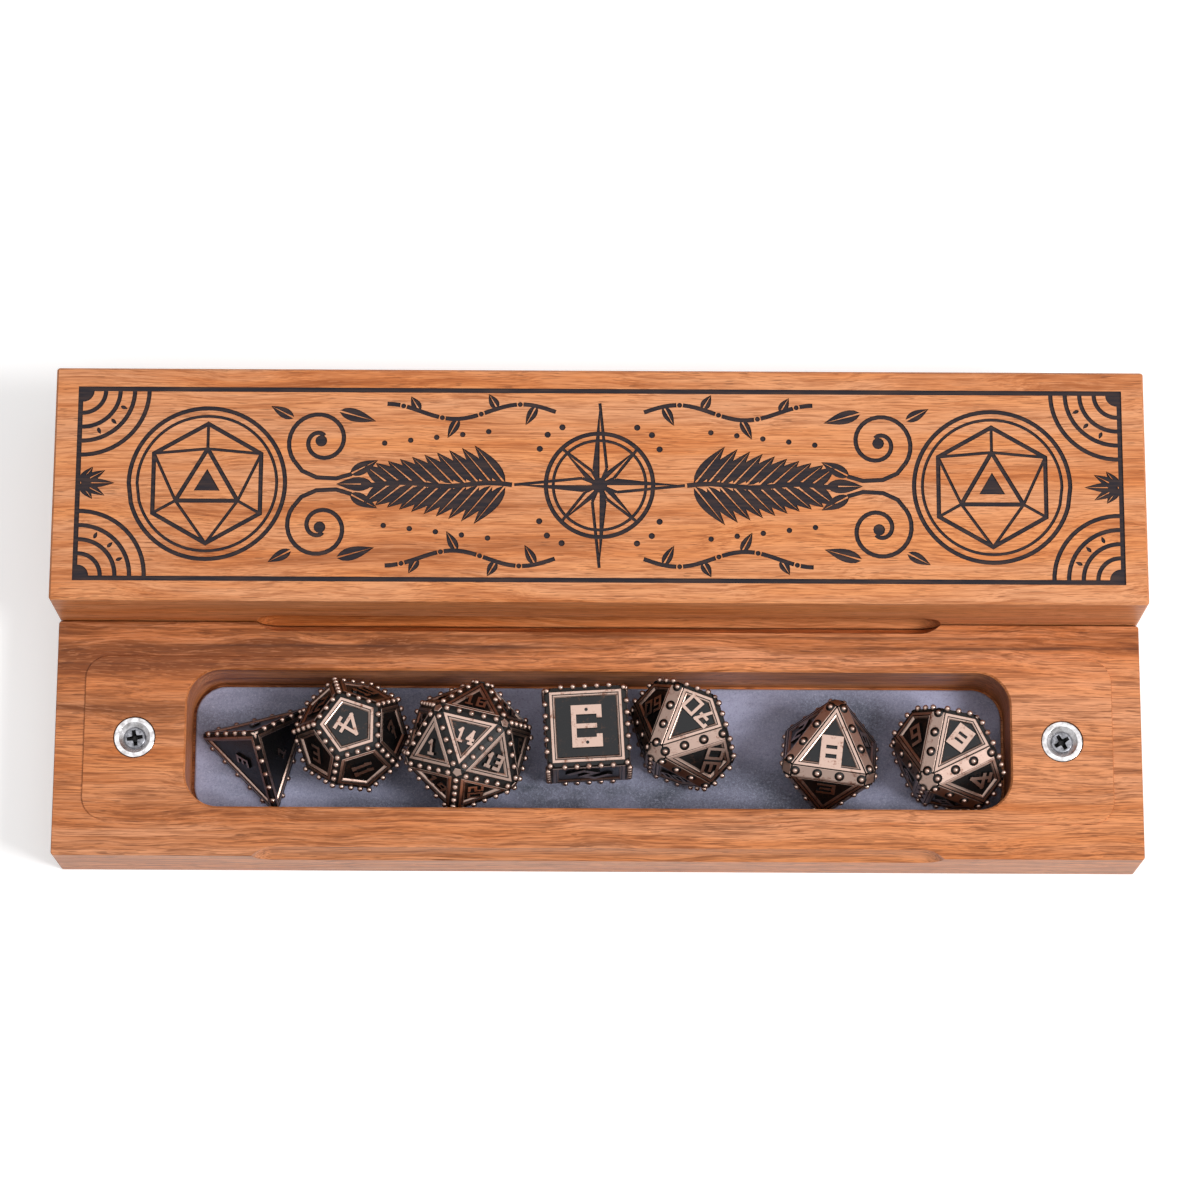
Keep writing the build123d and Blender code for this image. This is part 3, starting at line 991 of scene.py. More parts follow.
    def compass(self) -> Iterator[Flat]:
        """Draw the half-filled eight-pointed rose in the middle."""
        centre = Vector((0.0, 0.0))
        for radius, width in zip(self.rose_rings, (self.line, self.fine)):
            yield from Outline.ribbon(Outline.arc(centre, radius, 0, 350, 70), width, closed=True)
        for k in range(8):
            reach, base, flank_deg = self.rose_points[k % 2]
            tip = polar(45 * k, reach)
            filled = polar(45 * k + flank_deg, base)
            bare = polar(45 * k - flank_deg, base)
            yield [centre, filled, tip]
            yield from Outline.ribbon([bare, tip], self.fine)
            yield from Outline.ribbon([centre, bare], self.fine)
        aside, straight = self.rose_dots
        for k in range(4):
            for lean_deg, reach in ((-13, aside), (0, straight), (13, aside)):
                yield Outline.dot(polar(45 + 90 * k + lean_deg, reach), self.rose_dot)
        yield Outline.arc(centre, self.rose_eye, 0, 342, 19)


@dataclass(frozen=True)
class EngravedLid:
    """The lid's wood, with the ornament cut into its top."""

    depth: float = 0.28
    weld: float = 1e-4
    level_slack: float = 1e-3
    rim_slack: float = 2e-3
    smooth_deg: float = 32.0

    def build(self, wood: Finish, burnt: Finish) -> None:
        """Cut the ornament into a copy of the lid and put it in the scene.

        Args:
            wood: The lid's wood.
            burnt: The finish of the cut lines.
        """
        shape = bmesh.new()
        shape.from_mesh(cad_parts["lid_body"].data)
        shape.transform(Matrix.Scale(1 / MM, 4))
        bmesh.ops.remove_doubles(shape, verts=shape.verts, dist=self.weld)
        for face in shape.faces:
            face.material_index = Coat.MAIN
        top = max(vert.co.z for vert in shape.verts)
        flat = [f for f in shape.faces if all(v.co.z > top - self.level_slack for v in f.verts)]
        edges = [e for f in flat for e in f.edges]
        ring = self.loop([e for e in set(edges) if edges.count(e) == 1])
        bmesh.ops.delete(shape, geom=flat, context="FACES")
        field_rim = [Vector((v.co.x, v.co.y)) for v in ring]
        low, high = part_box("lid_body")
        centre = Vector(((low.x + high.x) / 2, (low.y + high.y) / 2)) / MM
        cuts = [[p + centre for p in s] for s in Ornament().shapes()]
        points, inside, rest = Outline.joined(cuts, field_rim)
        above = [self.nearest(p, ring) or shape.verts.new((p.x, p.y, top)) for p in points]
        for t in rest:
            shape.faces.new([above[k] for k in t]).material_index = Coat.MAIN
        floor = {k: shape.verts.new((points[k].x, points[k].y, top - self.depth))
                 for k in sorted({k for t in inside for k in t})}
        for t in inside:
            shape.faces.new([floor[k] for k in t]).material_index = Coat.DARK
        for a, b in Outline.rim(inside):
            shape.faces.new([above[b], above[a], floor[a], floor[b]]).material_index = Coat.DARK
        loose = [v for v in shape.verts if not v.link_faces]
        bmesh.ops.delete(shape, geom=loose, context="VERTS")
        mesh = Maker.mesh(shape, (wood, burnt), self.smooth_deg)
        Maker.piece("lid_engraved", mesh, "lid", "walnut_wood", ["lid_body"])

    @staticmethod
    def loop(edges: list[bmesh.types.BMEdge]) -> list[bmesh.types.BMVert]:
        """Put the vertices of a closed ring of edges in order.

        Args:
            edges: The edges.

        Returns:
            The vertices.
        """
        start = edges[0].verts[0]
        ring = [start]
        used = set()
        here = start
        while True:
            step = next((e for e in here.link_edges if e in edges and e not in used), None)
            if step is None:
                return ring
            used.add(step)
            here = step.other_vert(here)
            if here is start:
                return ring
            ring.append(here)

    def nearest(self, point: Vector, ring: list[bmesh.types.BMVert]) -> bmesh.types.BMVert | None:
        """Find the ring's vertex at a point, where it has one."""
        near = (v for v in ring if max(abs(v.co.x - point.x), abs(v.co.y - point.y)) < self.rim_slack)
        return next(near, None)


@dataclass(frozen=True)
class Lining:
    """A felt pad with rounded corners and a soft edge, glued to a floor or a ceiling."""

    node: str
    body: str
    faces_down: bool = False
    corner: float = 5.9
    soft_edge: float = 0.42
    swell: float = 0.09
    near_edge: tuple[float, ...] = (0.0, 0.05, 0.13, 0.24, 0.38, 0.6, 1.0)
    columns: int = 150
    rows: int = 26
    smooth_deg: float = 60.0

    def build(self, felt: Finish) -> None:
        """Put the lining in the scene in place of its CAD solid.

        Args:
            felt: The felt's finish.
        """
        low, high = (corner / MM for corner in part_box(self.node))
        centre = (low + high) / 2
        half_x = (high.x - low.x) / 2
        half_y = (high.y - low.y) / 2
        alongs = self.stops(half_x, self.columns)
        show, glued = (low.z, high.z) if self.faces_down else (high.z, low.z)
        sign = -1 if self.faces_down else 1
        shape = bmesh.new()
        grids = []
        for level in (show, glued):
            grid = []
            for y in self.stops(half_y, self.rows):
                past = max(0.0, abs(y) - (half_y - self.corner))
                reach = half_x - self.corner + math.sqrt(max(0.0, self.corner ** 2 - past ** 2))
                row = []
                for along in alongs:
                    x = self.fitted(along, half_x, reach)
                    z = level
                    if level == show:
                        z -= sign * self.sink(x, y, half_x, half_y)
                    row.append(shape.verts.new((centre.x + x, centre.y + y, z)))
                grid.append(row)
            grids.append(grid)
        for grid in grids:
            for row, after in zip(grid, grid[1:]):
                for c in range(len(row) - 1):
                    shape.faces.new((row[c], row[c + 1], after[c + 1], after[c]))
        front, back = grids
        last_row, last_column = len(front) - 1, len(alongs) - 1
        ring = [(0, c) for c in range(last_column)] + [(r, last_column) for r in range(last_row)]
        ring += [(last_row, c) for c in range(last_column, 0, -1)] + [(r, 0) for r in range(last_row, 0, -1)]
        for (r0, c0), (r1, c1) in zip(ring, ring[1:] + ring[:1]):
            shape.faces.new((front[r0][c0], front[r1][c1], back[r1][c1], back[r0][c0]))
        mesh = Maker.mesh(shape, (felt,), self.smooth_deg)
        made = Maker.piece(self.node + "_felt", mesh, self.body, "lining_felt", [self.node])

    def stops(self, half: float, count: int) -> list[float]:
        """Give places across a width, close together near its edges.

        Args:
            half: Half the width.
            count: How many spans the wide middle has.

        Returns:
            The places about the width's middle.
        """
        near = [half - off for off in self.near_edge]
        inner = near[-1]
        middle = [-inner + 2 * inner * k / count for k in range(1, count)]
        return [-n for n in near] + middle + near[::-1]

    def fitted(self, along: float, half: float, reach: float) -> float:
        """Move a place along the full length to the same distance from a shorter row's end.

        Args:
            along: The place from the middle.
            half: Half the full length.
            reach: Half the row's length.

        Returns:
            The new place.
        """
        edge = self.near_edge[-1]
        if abs(along) > half - edge:
            return math.copysign(reach - (half - abs(along)), along)
        return along * (reach - edge) / (half - edge)

    def sink(self, x: float, y: float, half_x: float, half_y: float) -> float:
        """Work out how far the felt lies below its highest level.

        Args:
            x: Place along the pad from its centre.
            y: Place across it.
            half_x: Half its length.
            half_y: Half its width.

        Returns:
            The depth in millimetres.
        """
        over_x = max(0.0, abs(x) - half_x + self.corner)
        over_y = max(0.0, abs(y) - half_y + self.corner)
        if over_x and over_y:
            margin = self.corner - math.hypot(over_x, over_y)
        else:
            margin = min(half_x - abs(x), half_y - abs(y))
        margin = max(0.0, margin)
        edge = 0.0
        if margin < self.soft_edge:
            short = self.soft_edge - margin
            edge = self.soft_edge - math.sqrt(max(0.0, self.soft_edge ** 2 - short ** 2))
        wave = noise.noise(Vector((x * 0.09, y * 0.16, 3.7)))
        wave += 0.5 * noise.noise(Vector((x * 0.3, y * 0.35, 9.1)))
        nap = 0.5 - 0.5 * max(-1.0, min(1.0, wave))
        return edge + self.swell * min(1.0, margin / 2) * nap


@dataclass(frozen=True)
class Fastening:
    """A countersunk ring magnet and the cross-recessed screw that holds it."""

    half: str
    side: str
    body: str
    recess_turn_deg: float
    faces_down: bool = False
    steps: int = 72
    smooth_deg: float = 40.0
    ring_wide: float = 1.05
    countersink: float = 1.5
    rim_round: float = 0.22
    lip_round: float = 0.12
    foot_bevel: float = 0.1
    shank: float = 1.3
    point: float = 2.6
    point_tip: float = 0.25
    head_crown: tuple[tuple[float, float], ...] = ((0.62, 0.0), (0.5, -0.04), (0.36, -0.26), (0.36, -0.36))
    recess_reach: float = 1.56
    recess_half: float = 0.36
    rim_slack: float = 1e-3
    recess_levels: tuple[tuple[float, float], ...] = ((1.0, 0.0), (0.9, -0.12), (0.62, -0.6), (0.36, -1.0))

    def build(self, nickel: Finish, steel: Finish, recess_shade: Finish) -> None:
        """Put the magnet and the screw in the scene in place of their CAD solids.

        Args:
            nickel: The magnet's finish.
            steel: The screw's finish.
            recess_shade: The dark grey finish of the screw's recess, which paints the shade inside it.
        """
        for name, make, materials, slot in (("magnet", self.magnet, (nickel,), "magnet_nickel"),
                                            ("screw", self.screw, (steel, recess_shade), "screw_steel")):
            node = f"{self.half}_{name}_{self.side}"
            low, high = (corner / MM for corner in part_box(node))
            radius = (high.x - low.x) / 2
            face = low.z if self.faces_down else high.z
            turn = Matrix.Rotation(math.pi, 4, "X") if self.faces_down else Matrix.Identity(4)
            place = Matrix.Translation(((low.x + high.x) / 2, (low.y + high.y) / 2, face)) @ turn
            shape = bmesh.new()
            make(shape, radius, high.z - low.z)
            shape.transform(place)
            mesh = Maker.mesh(shape, materials, self.smooth_deg)
            Maker.piece(node + "_dressed", mesh, self.body, slot, [node])

    def turned(self, shape: Draft, profile: Sequence[tuple[float, float]],
               closed: bool) -> list[list[bmesh.types.BMVert]]:
        """Turn a profile about the upright axis.

        Args:
            shape: The bmesh that gets it.
            profile: Points of radius and height.
            closed: Whether the last point joins the first.

        Returns:
            The rings of vertices, one for each point.
        """
        rings = []
        for radius, height in profile:
            ring = []
            for k in range(self.steps):
                turn = math.tau * k / self.steps
                ring.append(shape.verts.new((radius * math.cos(turn), radius * math.sin(turn), height)))
            rings.append(ring)
        for one, other in zip(rings, rings[1:] + rings[:1] if closed else rings[1:]):
            band(shape, one, other)
        return rings

    def magnet(self, shape: Draft, radius: float, height: float) -> None:
        """Add the ring with its countersink and rounded rim, its face at the origin.

        Args:
            shape: The bmesh that gets it.
            radius: The ring's radius.
            height: Its height.
        """
        sink = radius - self.ring_wide
        bore = sink - self.countersink
        rim, lip, bevel = self.rim_round, self.lip_round, self.foot_bevel
        outer = [(radius - rim + rim * math.sin(a), -rim + rim * math.cos(a))
                 for a in (math.pi / 2 * k / 4 for k in range(5))]
        inner = [(sink + lip - lip * math.sin(a), -lip + lip * math.cos(a))
                 for a in (math.pi / 4 * k / 3 for k in range(3, -1, -1))]
        foot = [(radius, -height + bevel), (radius - bevel, -height), (bore, -height), (bore, bore - sink)]
        self.turned(shape, inner + outer + foot, closed=True)

    def screw(self, shape: Draft, radius: float, height: float) -> None:
        """Add the screw with its cross recess, shank and point, its head at the origin.

        Args:
            shape: The bmesh that gets it.
            radius: The head's radius.
            height: The screw's length.
        """
        profile = [(radius - inside, level) for inside, level in self.head_crown]
        profile += [(self.shank, -radius + self.shank), (self.shank, self.point - height),
                    (self.point_tip, -height)]
        rings = self.turned(shape, profile, closed=False)
        shape.faces.new(rings[-1])
        disc = [Vector((v.co.x, v.co.y)) for v in rings[0]]
        points, _, rest = Outline.joined([self.cross(1.0)], disc)
        top = []
        for p in points:
            near = (v for v, flat in zip(rings[0], disc) if (flat - p).length < self.rim_slack)
            top.append(next(near, None) or shape.verts.new((p.x, p.y, 0.0)))
        for t in rest:
            shape.faces.new([top[k] for k in t])
        loops = [[shape.verts.new((p.x, p.y, depth)) for p in self.cross(scale)]
                 for scale, depth in self.recess_levels]
        # The recess's walls and floor take the dark second finish, which paints the shade inside the recess.
        for one, other in zip(loops, loops[1:]):
            band(shape, one, other, Coat.DARK)
        shape.faces.new(loops[-1]).material_index = Coat.DARK

    def cross(self, scale: float) -> Flat:
        """Draw the recess.

        Args:
            scale: Factor by which its arms are shortened.

        Returns:
            The recess outline.
        """
        reach = self.recess_reach * scale
        half = self.recess_half * (0.55 + 0.45 * scale)
        corner = half + 0.2 * scale
        step = half + 0.06 * scale
        points = []
        for quarter in range(4):
            turn = math.radians(90 * quarter + self.recess_turn_deg)
            for x, y in ((reach, -half), (reach, half), (corner, step), (step, corner)):
                points.append(Vector((x * math.cos(turn) - y * math.sin(turn),
                                      x * math.sin(turn) + y * math.cos(turn))))
        return points


class EdgeStyle(Enum):
    """How a die's edge is worked."""

    BEADS = "a row of beads"
    BAND = "a riveted strap"


class CornerStyle(Enum):
    """How a die's corner is worked."""

    PLAIN = "cut off"
    BEAD = "a bead"
    PLATE = "a small plate"


@dataclass(frozen=True)
class Mark:
    """A number on one face of a die.

    The face is the one that looks most nearly towards a direction. The number's top points up, or to
    the face's first corner or pole where up is nothing.
    """

    text: str
    toward: Triple
    up: Triple | None
    height: float
    wide: float = 0.62
    weight: float = 0.17
    shift: tuple[float, float] = (0.0, 0.0)
    blocky: bool = False


@dataclass(frozen=True)
class DiePlan:
    """What sets one die apart from the others."""

    name: str
    faces: int
    beads: int
    pitch: float
    marks: tuple[Mark, ...]
    plain_height: float
    corner: CornerStyle
    corner_reach: float
    corner_depth: float = 0.0
    bead_depth: float = 0.18
    tens: bool = False
    rivet_pitch: float = 0.0


class Glyphs:
    """Plain block numerals as flat shapes."""

    LINES = {
        "0": (((0, 0), (1, 0), (1, 1), (0, 1), (0, 0)),),
        "1": (((0.5, 0), (0.5, 1)), ((0.5, 1), (0.12, 0.82)), ((0.12, 0), (0.88, 0))),
        "2": (((0, 1), (1, 1), (1, 0.52), (0, 0.48), (0, 0), (1, 0)),),
        "3": (((0, 1), (1, 1), (1, 0), (0, 0)), ((0.2, 0.5), (1, 0.5))),
        "4": (((0.72, 0), (0.72, 1), (0, 0.34), (1, 0.34)), ((0.45, 0), (1, 0))),
        "5": (((1, 1), (0, 1), (0, 0.54), (1, 0.5), (1, 0), (0, 0)),),
        "6": (((1, 1), (0, 1), (0, 0), (1, 0), (1, 0.52), (0, 0.52)),),
        "7": (((0, 0.86), (0, 1), (1, 1), (0.42, 0)), ((0.3, 0.5), (0.9, 0.5))),
        "8": (((0, 0), (1, 0), (1, 1), (0, 1), (0, 0)), ((0, 0.5), (1, 0.5))),
        "9": (((0, 0), (1, 0), (1, 1), (0, 1), (0, 0.48), (1, 0.48)),),
    }
    # Heavy numerals as boxes from left and foot to right and top
    BLOCKS = {
        "3": ((0, 0.77, 1, 1), (0, 0, 1, 0.22), (0.17, 0.44, 1, 0.55), (0.84, 0, 1, 1),
              (0, 0.69, 0.19, 1), (0, 0, 0.17, 0.31)),
        "8": ((0, 0, 0.24, 1), (0.75, 0, 1, 1), (0, 0, 1, 0.30), (0, 0.43, 1, 0.59), (0, 0.70, 1, 1)),
    }
    # Small holes in the heavy numerals
    DOTS = {"3": ((0.5, 0.885), (0.5, 0.11))}
    DOT_RADIUS = 0.34
    GAP_SHARE = 0.14

    @classmethod
    def shapes(cls, mark: Mark) -> list[Flat]:
        """Draw a number.

        Args:
            mark: The number.

        Returns:
            Its strokes about its own centre, in millimetres.
        """
        if mark.blocky:
            return cls.boxes(mark)
        stroke = mark.height * mark.weight
        tall = mark.height - stroke
        broad = mark.height * mark.wide - stroke
        gap = mark.height * cls.GAP_SHARE
        whole = len(mark.text) * (broad + stroke) + (len(mark.text) - 1) * gap
        shapes: list[Flat] = []
        for place, digit in enumerate(mark.text):
            left = -whole / 2 + place * (broad + stroke + gap) + stroke / 2
            for line in cls.LINES[digit]:
                points = [Vector((left + x * broad + mark.shift[0], (y - 0.5) * tall + mark.shift[1]))
                          for x, y in line]
                for a, b in zip(points, points[1:]):
                    along = (b - a).normalized() * stroke / 2
                    across = Vector((-along.y, along.x))
                    shapes.append([a - along - across, b + along - across, b + along + across,
                                   a - along + across])
        return shapes

    @classmethod
    def boxes(cls, mark: Mark) -> list[Flat]:
        """Give a heavy numeral's boxes about its own centre, in millimetres."""
        rings = [((x, y), (right, y), (right, top), (x, top)) for x, y, right, top in cls.BLOCKS[mark.text]]
        return [[cls.placed(mark, x, y) for x, y in ring] for ring in rings]

    @classmethod
    def dots(cls, mark: Mark) -> list[Flat]:
        """Give a heavy numeral's small holes."""
        places = cls.DOTS.get(mark.text, ()) if mark.blocky else ()
        return [Outline.dot(cls.placed(mark, x, y), cls.DOT_RADIUS) for x, y in places]

    @staticmethod
    def placed(mark: Mark, x: float, y: float) -> Vector:
        """Put a point of the unit box where the numeral stands."""
        return Vector(((x - 0.5) * mark.height * mark.wide + mark.shift[0],
                       (y - 0.5) * mark.height + mark.shift[1]))


class Solid:
    """The flat faces and corners of a die, read from its CAD solid, in millimetres."""

    LEAST_SQUARE_METRES = 1e-10
    NORMALS_AGREE = 0.9998
    LEAST_SPREAD = 0.05
    OUTSIDE_BY = 0.03
    SAME_CORNER = 0.3
    ON_FACE = 0.08

    def __init__(self, node: str, count: int) -> None:
        """Find the planes of the widest faces and where they meet.

        Args:
            node: The CAD node.
            count: How many faces the die has.
        """
        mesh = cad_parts[node].data
        self.normals, self.levels = self.planes(mesh, count)
        self.corners: list[Vector] = []
        for a, b, c in combinations(range(count), 3):
            na, nb, nc = self.normals[a], self.normals[b], self.normals[c]
            spread = na.dot(nb.cross(nc))
            if abs(spread) < self.LEAST_SPREAD:
                continue
            point = (nb.cross(nc) * self.levels[a] + nc.cross(na) * self.levels[b]
                     + na.cross(nb) * self.levels[c]) / spread
            known = zip(self.normals, self.levels)
            inside = all(normal.dot(point) < level + self.OUTSIDE_BY for normal, level in known)
            if inside and all((point - other).length > self.SAME_CORNER for other in self.corners):
                self.corners.append(point)
        self.touching = [self.faces_at(point) for point in self.corners]
        self.loops = [self.ordered(f) for f in range(count)]
        self.centre = sum(self.corners, Vector()) / len(self.corners)

    def faces_at(self, point: Vector) -> list[int]:
        """List the faces on which a point lies."""
        return [f for f, normal in enumerate(self.normals)
                if abs(normal.dot(point) - self.levels[f]) < self.ON_FACE]

    @classmethod
    def planes(cls, mesh: bpy.types.Mesh, count: int) -> tuple[list[Vector], list[float]]:
        """Find the directions that hold most of a mesh's area.

        Args:
            mesh: The mesh, in metres.
            count: How many directions are wanted.

        Returns:
            The directions, and how far out each reaches in millimetres.
        """
        groups: list[list] = []
        for polygon in sorted(mesh.polygons, key=lambda p: -p.area):
            if polygon.area < cls.LEAST_SQUARE_METRES:
                break
            home = next((g for g in groups if g[0].dot(polygon.normal) > cls.NORMALS_AGREE), None)
            if home is None:
                groups.append([polygon.normal.copy(), polygon.area, [polygon.center.copy()]])
            else:
                home[1] += polygon.area
                home[2].append(polygon.center.copy())
        groups.sort(key=lambda g: -g[1])
        chosen = groups[:count]
        levels = [max(g[0].dot(centre) for centre in g[2]) / MM for g in chosen]
        return [g[0] for g in chosen], levels

    def ordered(self, face: int) -> list[int]:
        """List a face's corners in order.

        Args:
            face: The face.

        Returns:
            The corners, anticlockwise seen from outside.
        """
        normal = self.normals[face]
        members = [k for k, faces in enumerate(self.touching) if face in faces]
        middle = sum((self.corners[k] for k in members), Vector()) / len(members)
        side = (self.corners[members[0]] - middle).normalized()
        other = normal.cross(side)
        return sorted(members, key=lambda k: math.atan2((self.corners[k] - middle).dot(other),
                                                        (self.corners[k] - middle).dot(side)))

    def neighbour(self, face: int, first: int, second: int) -> int:
        """Find the face across the edge between two corners."""
        return next(f for f in self.touching[first] if f != face and f in self.touching[second])

    def middle(self, face: int) -> Vector:
        """Give the mean of a face's corners."""
        return sum((self.corners[k] for k in self.loops[face]), Vector()) / len(self.loops[face])


def inset(points: Sequence[Vector], normal: Vector, by: Sequence[float], sink: float) -> list[Vector]:
    """Move a flat shape's edges inwards and sink it.

    Args:
        points: Its corners, anticlockwise seen against the normal.
        normal: The outward normal.
        by: How far each edge moves, the first being from the first to the second corner.
        sink: How far the shape moves against its normal.

    Returns:
        The new corners.
    """
    moved = []
    count = len(points)
    for k, here in enumerate(points):
        inward_before = normal.cross((here - points[k - 1]).normalized())
        inward_after = normal.cross((points[(k + 1) % count] - here).normalized())
        meet = inward_before.dot(inward_after)
        spread = 1 - meet * meet
        along = (by[k - 1] - meet * by[k]) / spread
        beyond = (by[k] - meet * by[k - 1]) / spread
        moved.append(here + inward_before * along + inward_after * beyond - normal * sink)
    return moved


@dataclass
class Studs:
    """Geometry node trees that set beads and rivets on points.

    The bright finish is that of beads and rivet heads, the dark one that of the thin near-black disc round
    each rivet head, which paints the shade round the dome.
    """

    bright: Finish
    dark: Finish
    bead_radius: float = 0.58
    rivet_radius: float = 0.56
    rivet_rise: float = 0.52
    rivet_ring: float = 1.75
    ring_height: float = 0.04
    ball_segments: int = 12
    ball_rings: int = 6
    ring_segments: int = 14
    bead_tree: tuple = field(init=False)
    rivet_tree: tuple = field(init=False)

    def __post_init__(self) -> None:
        """Build the two trees."""
        self.bead_tree = self.tree("beads_on_points", self.bead_sizes(), self.bead)
        self.rivet_tree = self.tree("rivets_on_points", self.rivet_sizes(), self.rivet)

    def bead_sizes(self) -> dict[str, float]:
        """Name a bead's sizes in metres."""
        return {"Radius": self.bead_radius * MM}

    def rivet_sizes(self) -> dict[str, float]:
        """Name a rivet's sizes in metres."""
        return {"Radius": self.rivet_radius * MM, "Rise": self.rivet_rise * MM}

    def tree(self, name: str, sizes: dict[str, float], shapes_of: Callable) -> tuple:
        """Build a tree that sets shapes on each point, along the point's own direction.

        Args:
            name: The tree's name.
            sizes: Its named sizes with their default values.
            shapes_of: Method that adds the shapes and gives each one's socket with its finish's.

        Returns:
            The tree and the identifiers of its inputs by name.
        """
        group = bpy.data.node_groups.new(name, "GeometryNodeTree")
        graph = Graph(group)
        ports = {"Points": "NodeSocketGeometry", "Bright": "NodeSocketMaterial", "Dark": "NodeSocketMaterial"}
        ports.update({size: "NodeSocketFloat" for size in sizes})
        known = {}
        for port, kind in ports.items():
            made = group.interface.new_socket(name=port, in_out="INPUT", socket_type=kind)
            if port in sizes:
                made.default_value = sizes[port]
            known[port] = made.identifier
        group.interface.new_socket(name="Geometry", in_out="OUTPUT", socket_type="NodeSocketGeometry")
        given = graph.node("NodeGroupInput").outputs
        out = graph.node("GeometryNodeInputNamedAttribute", {"Name": "out"}, data_type="FLOAT_VECTOR")
        feeds = {"Vector": out.outputs["Attribute"]}
        turn = graph.node("FunctionNodeAlignRotationToVector", feeds, axis="Z").outputs["Rotation"]
        whole = graph.node("GeometryNodeJoinGeometry")
        for stud, finish in shapes_of(graph, given):
            smooth = graph.node("GeometryNodeSetShadeSmooth", {"Geometry": stud}).outputs[0]
            feeds = {"Points": given["Points"], "Instance": smooth, "Rotation": turn}
            placed = graph.node("GeometryNodeInstanceOnPoints", feeds).outputs["Instances"]
            real = graph.node("GeometryNodeRealizeInstances", {"Geometry": placed}).outputs["Geometry"]
            dressed = graph.node("GeometryNodeSetMaterial", {"Geometry": real, "Material": finish}).outputs[0]
            graph.tree.links.new(dressed, whole.inputs[0])
        graph.node("NodeGroupOutput", {"Geometry": whole.outputs[0]})
        return group, known

    def ball(self, graph: Graph, radius: object) -> Socket:
        """Add a round ball of a radius, a socket or a number."""
        feeds = {"Radius": radius, "Segments": self.ball_segments, "Rings": self.ball_rings}
        return graph.node("GeometryNodeMeshUVSphere", feeds).outputs["Mesh"]

    def bead(self, graph: Graph, given: bpy.types.NodeOutputs) -> list[tuple]:
        """Add a round bead in the bright finish."""
        return [(self.ball(graph, given["Radius"]), given["Bright"])]

    def rivet(self, graph: Graph, given: bpy.types.NodeOutputs) -> list[tuple]:
        """Add a domed rivet head with a thin near-black disc round it, which paints the shade round the dome.

        Args:
            graph: The tree's graph.
            given: The tree's inputs.

        Returns:
            The socket of each shape with its finish's.
        """
        ball = self.ball(graph, 1.0)
        size = graph.node("ShaderNodeCombineXYZ", {0: given["Radius"], 1: given["Radius"], 2: given["Rise"]})
        feeds = {"Geometry": ball, "Scale": size.outputs[0]}
        head = graph.node("GeometryNodeTransform", feeds).outputs["Geometry"]
        # A thin near-black disc under the head: painted shade round the dome.
        wide = graph.math("MULTIPLY", given["Radius"], self.rivet_ring)
        feeds = {"Radius": wide, "Vertices": self.ring_segments, "Depth": self.ring_height * MM}
        disc = graph.node("GeometryNodeMeshCylinder", feeds).outputs["Mesh"]
        return [(head, given["Bright"]), (disc, given["Dark"])]

    def mesh(self, kind: tuple, places: list[tuple[Vector, Vector]],
             sizes: dict[str, float]) -> bpy.types.Mesh:
        """Set the studs and give them as a plain mesh.

        Args:
            kind: A tree with its inputs' identifiers.
            places: Point and outward direction of each stud, in millimetres.
            sizes: Named sizes in metres.

        Returns:
            The mesh.
        """
        group, known = kind
        points = bpy.data.meshes.new("stud_points")
        points.from_pydata([place * MM for place, _ in places], [], [])
        out = points.attributes.new("out", "FLOAT_VECTOR", "POINT")
        out.data.foreach_set("vector", [part for _, outward in places for part in outward])
        holder = add_object("stud_holder", points)
        modifier = holder.modifiers.new("studs", "NODES")
        modifier.node_group = group
        modifier[known["Bright"]] = self.bright
        modifier[known["Dark"]] = self.dark
        for name, value in sizes.items():
            modifier[known[name]] = value
        bpy.context.view_layer.update()
        seen = holder.evaluated_get(bpy.context.evaluated_depsgraph_get())
        made = bpy.data.meshes.new_from_object(seen)
        bpy.data.objects.remove(holder)
        return made


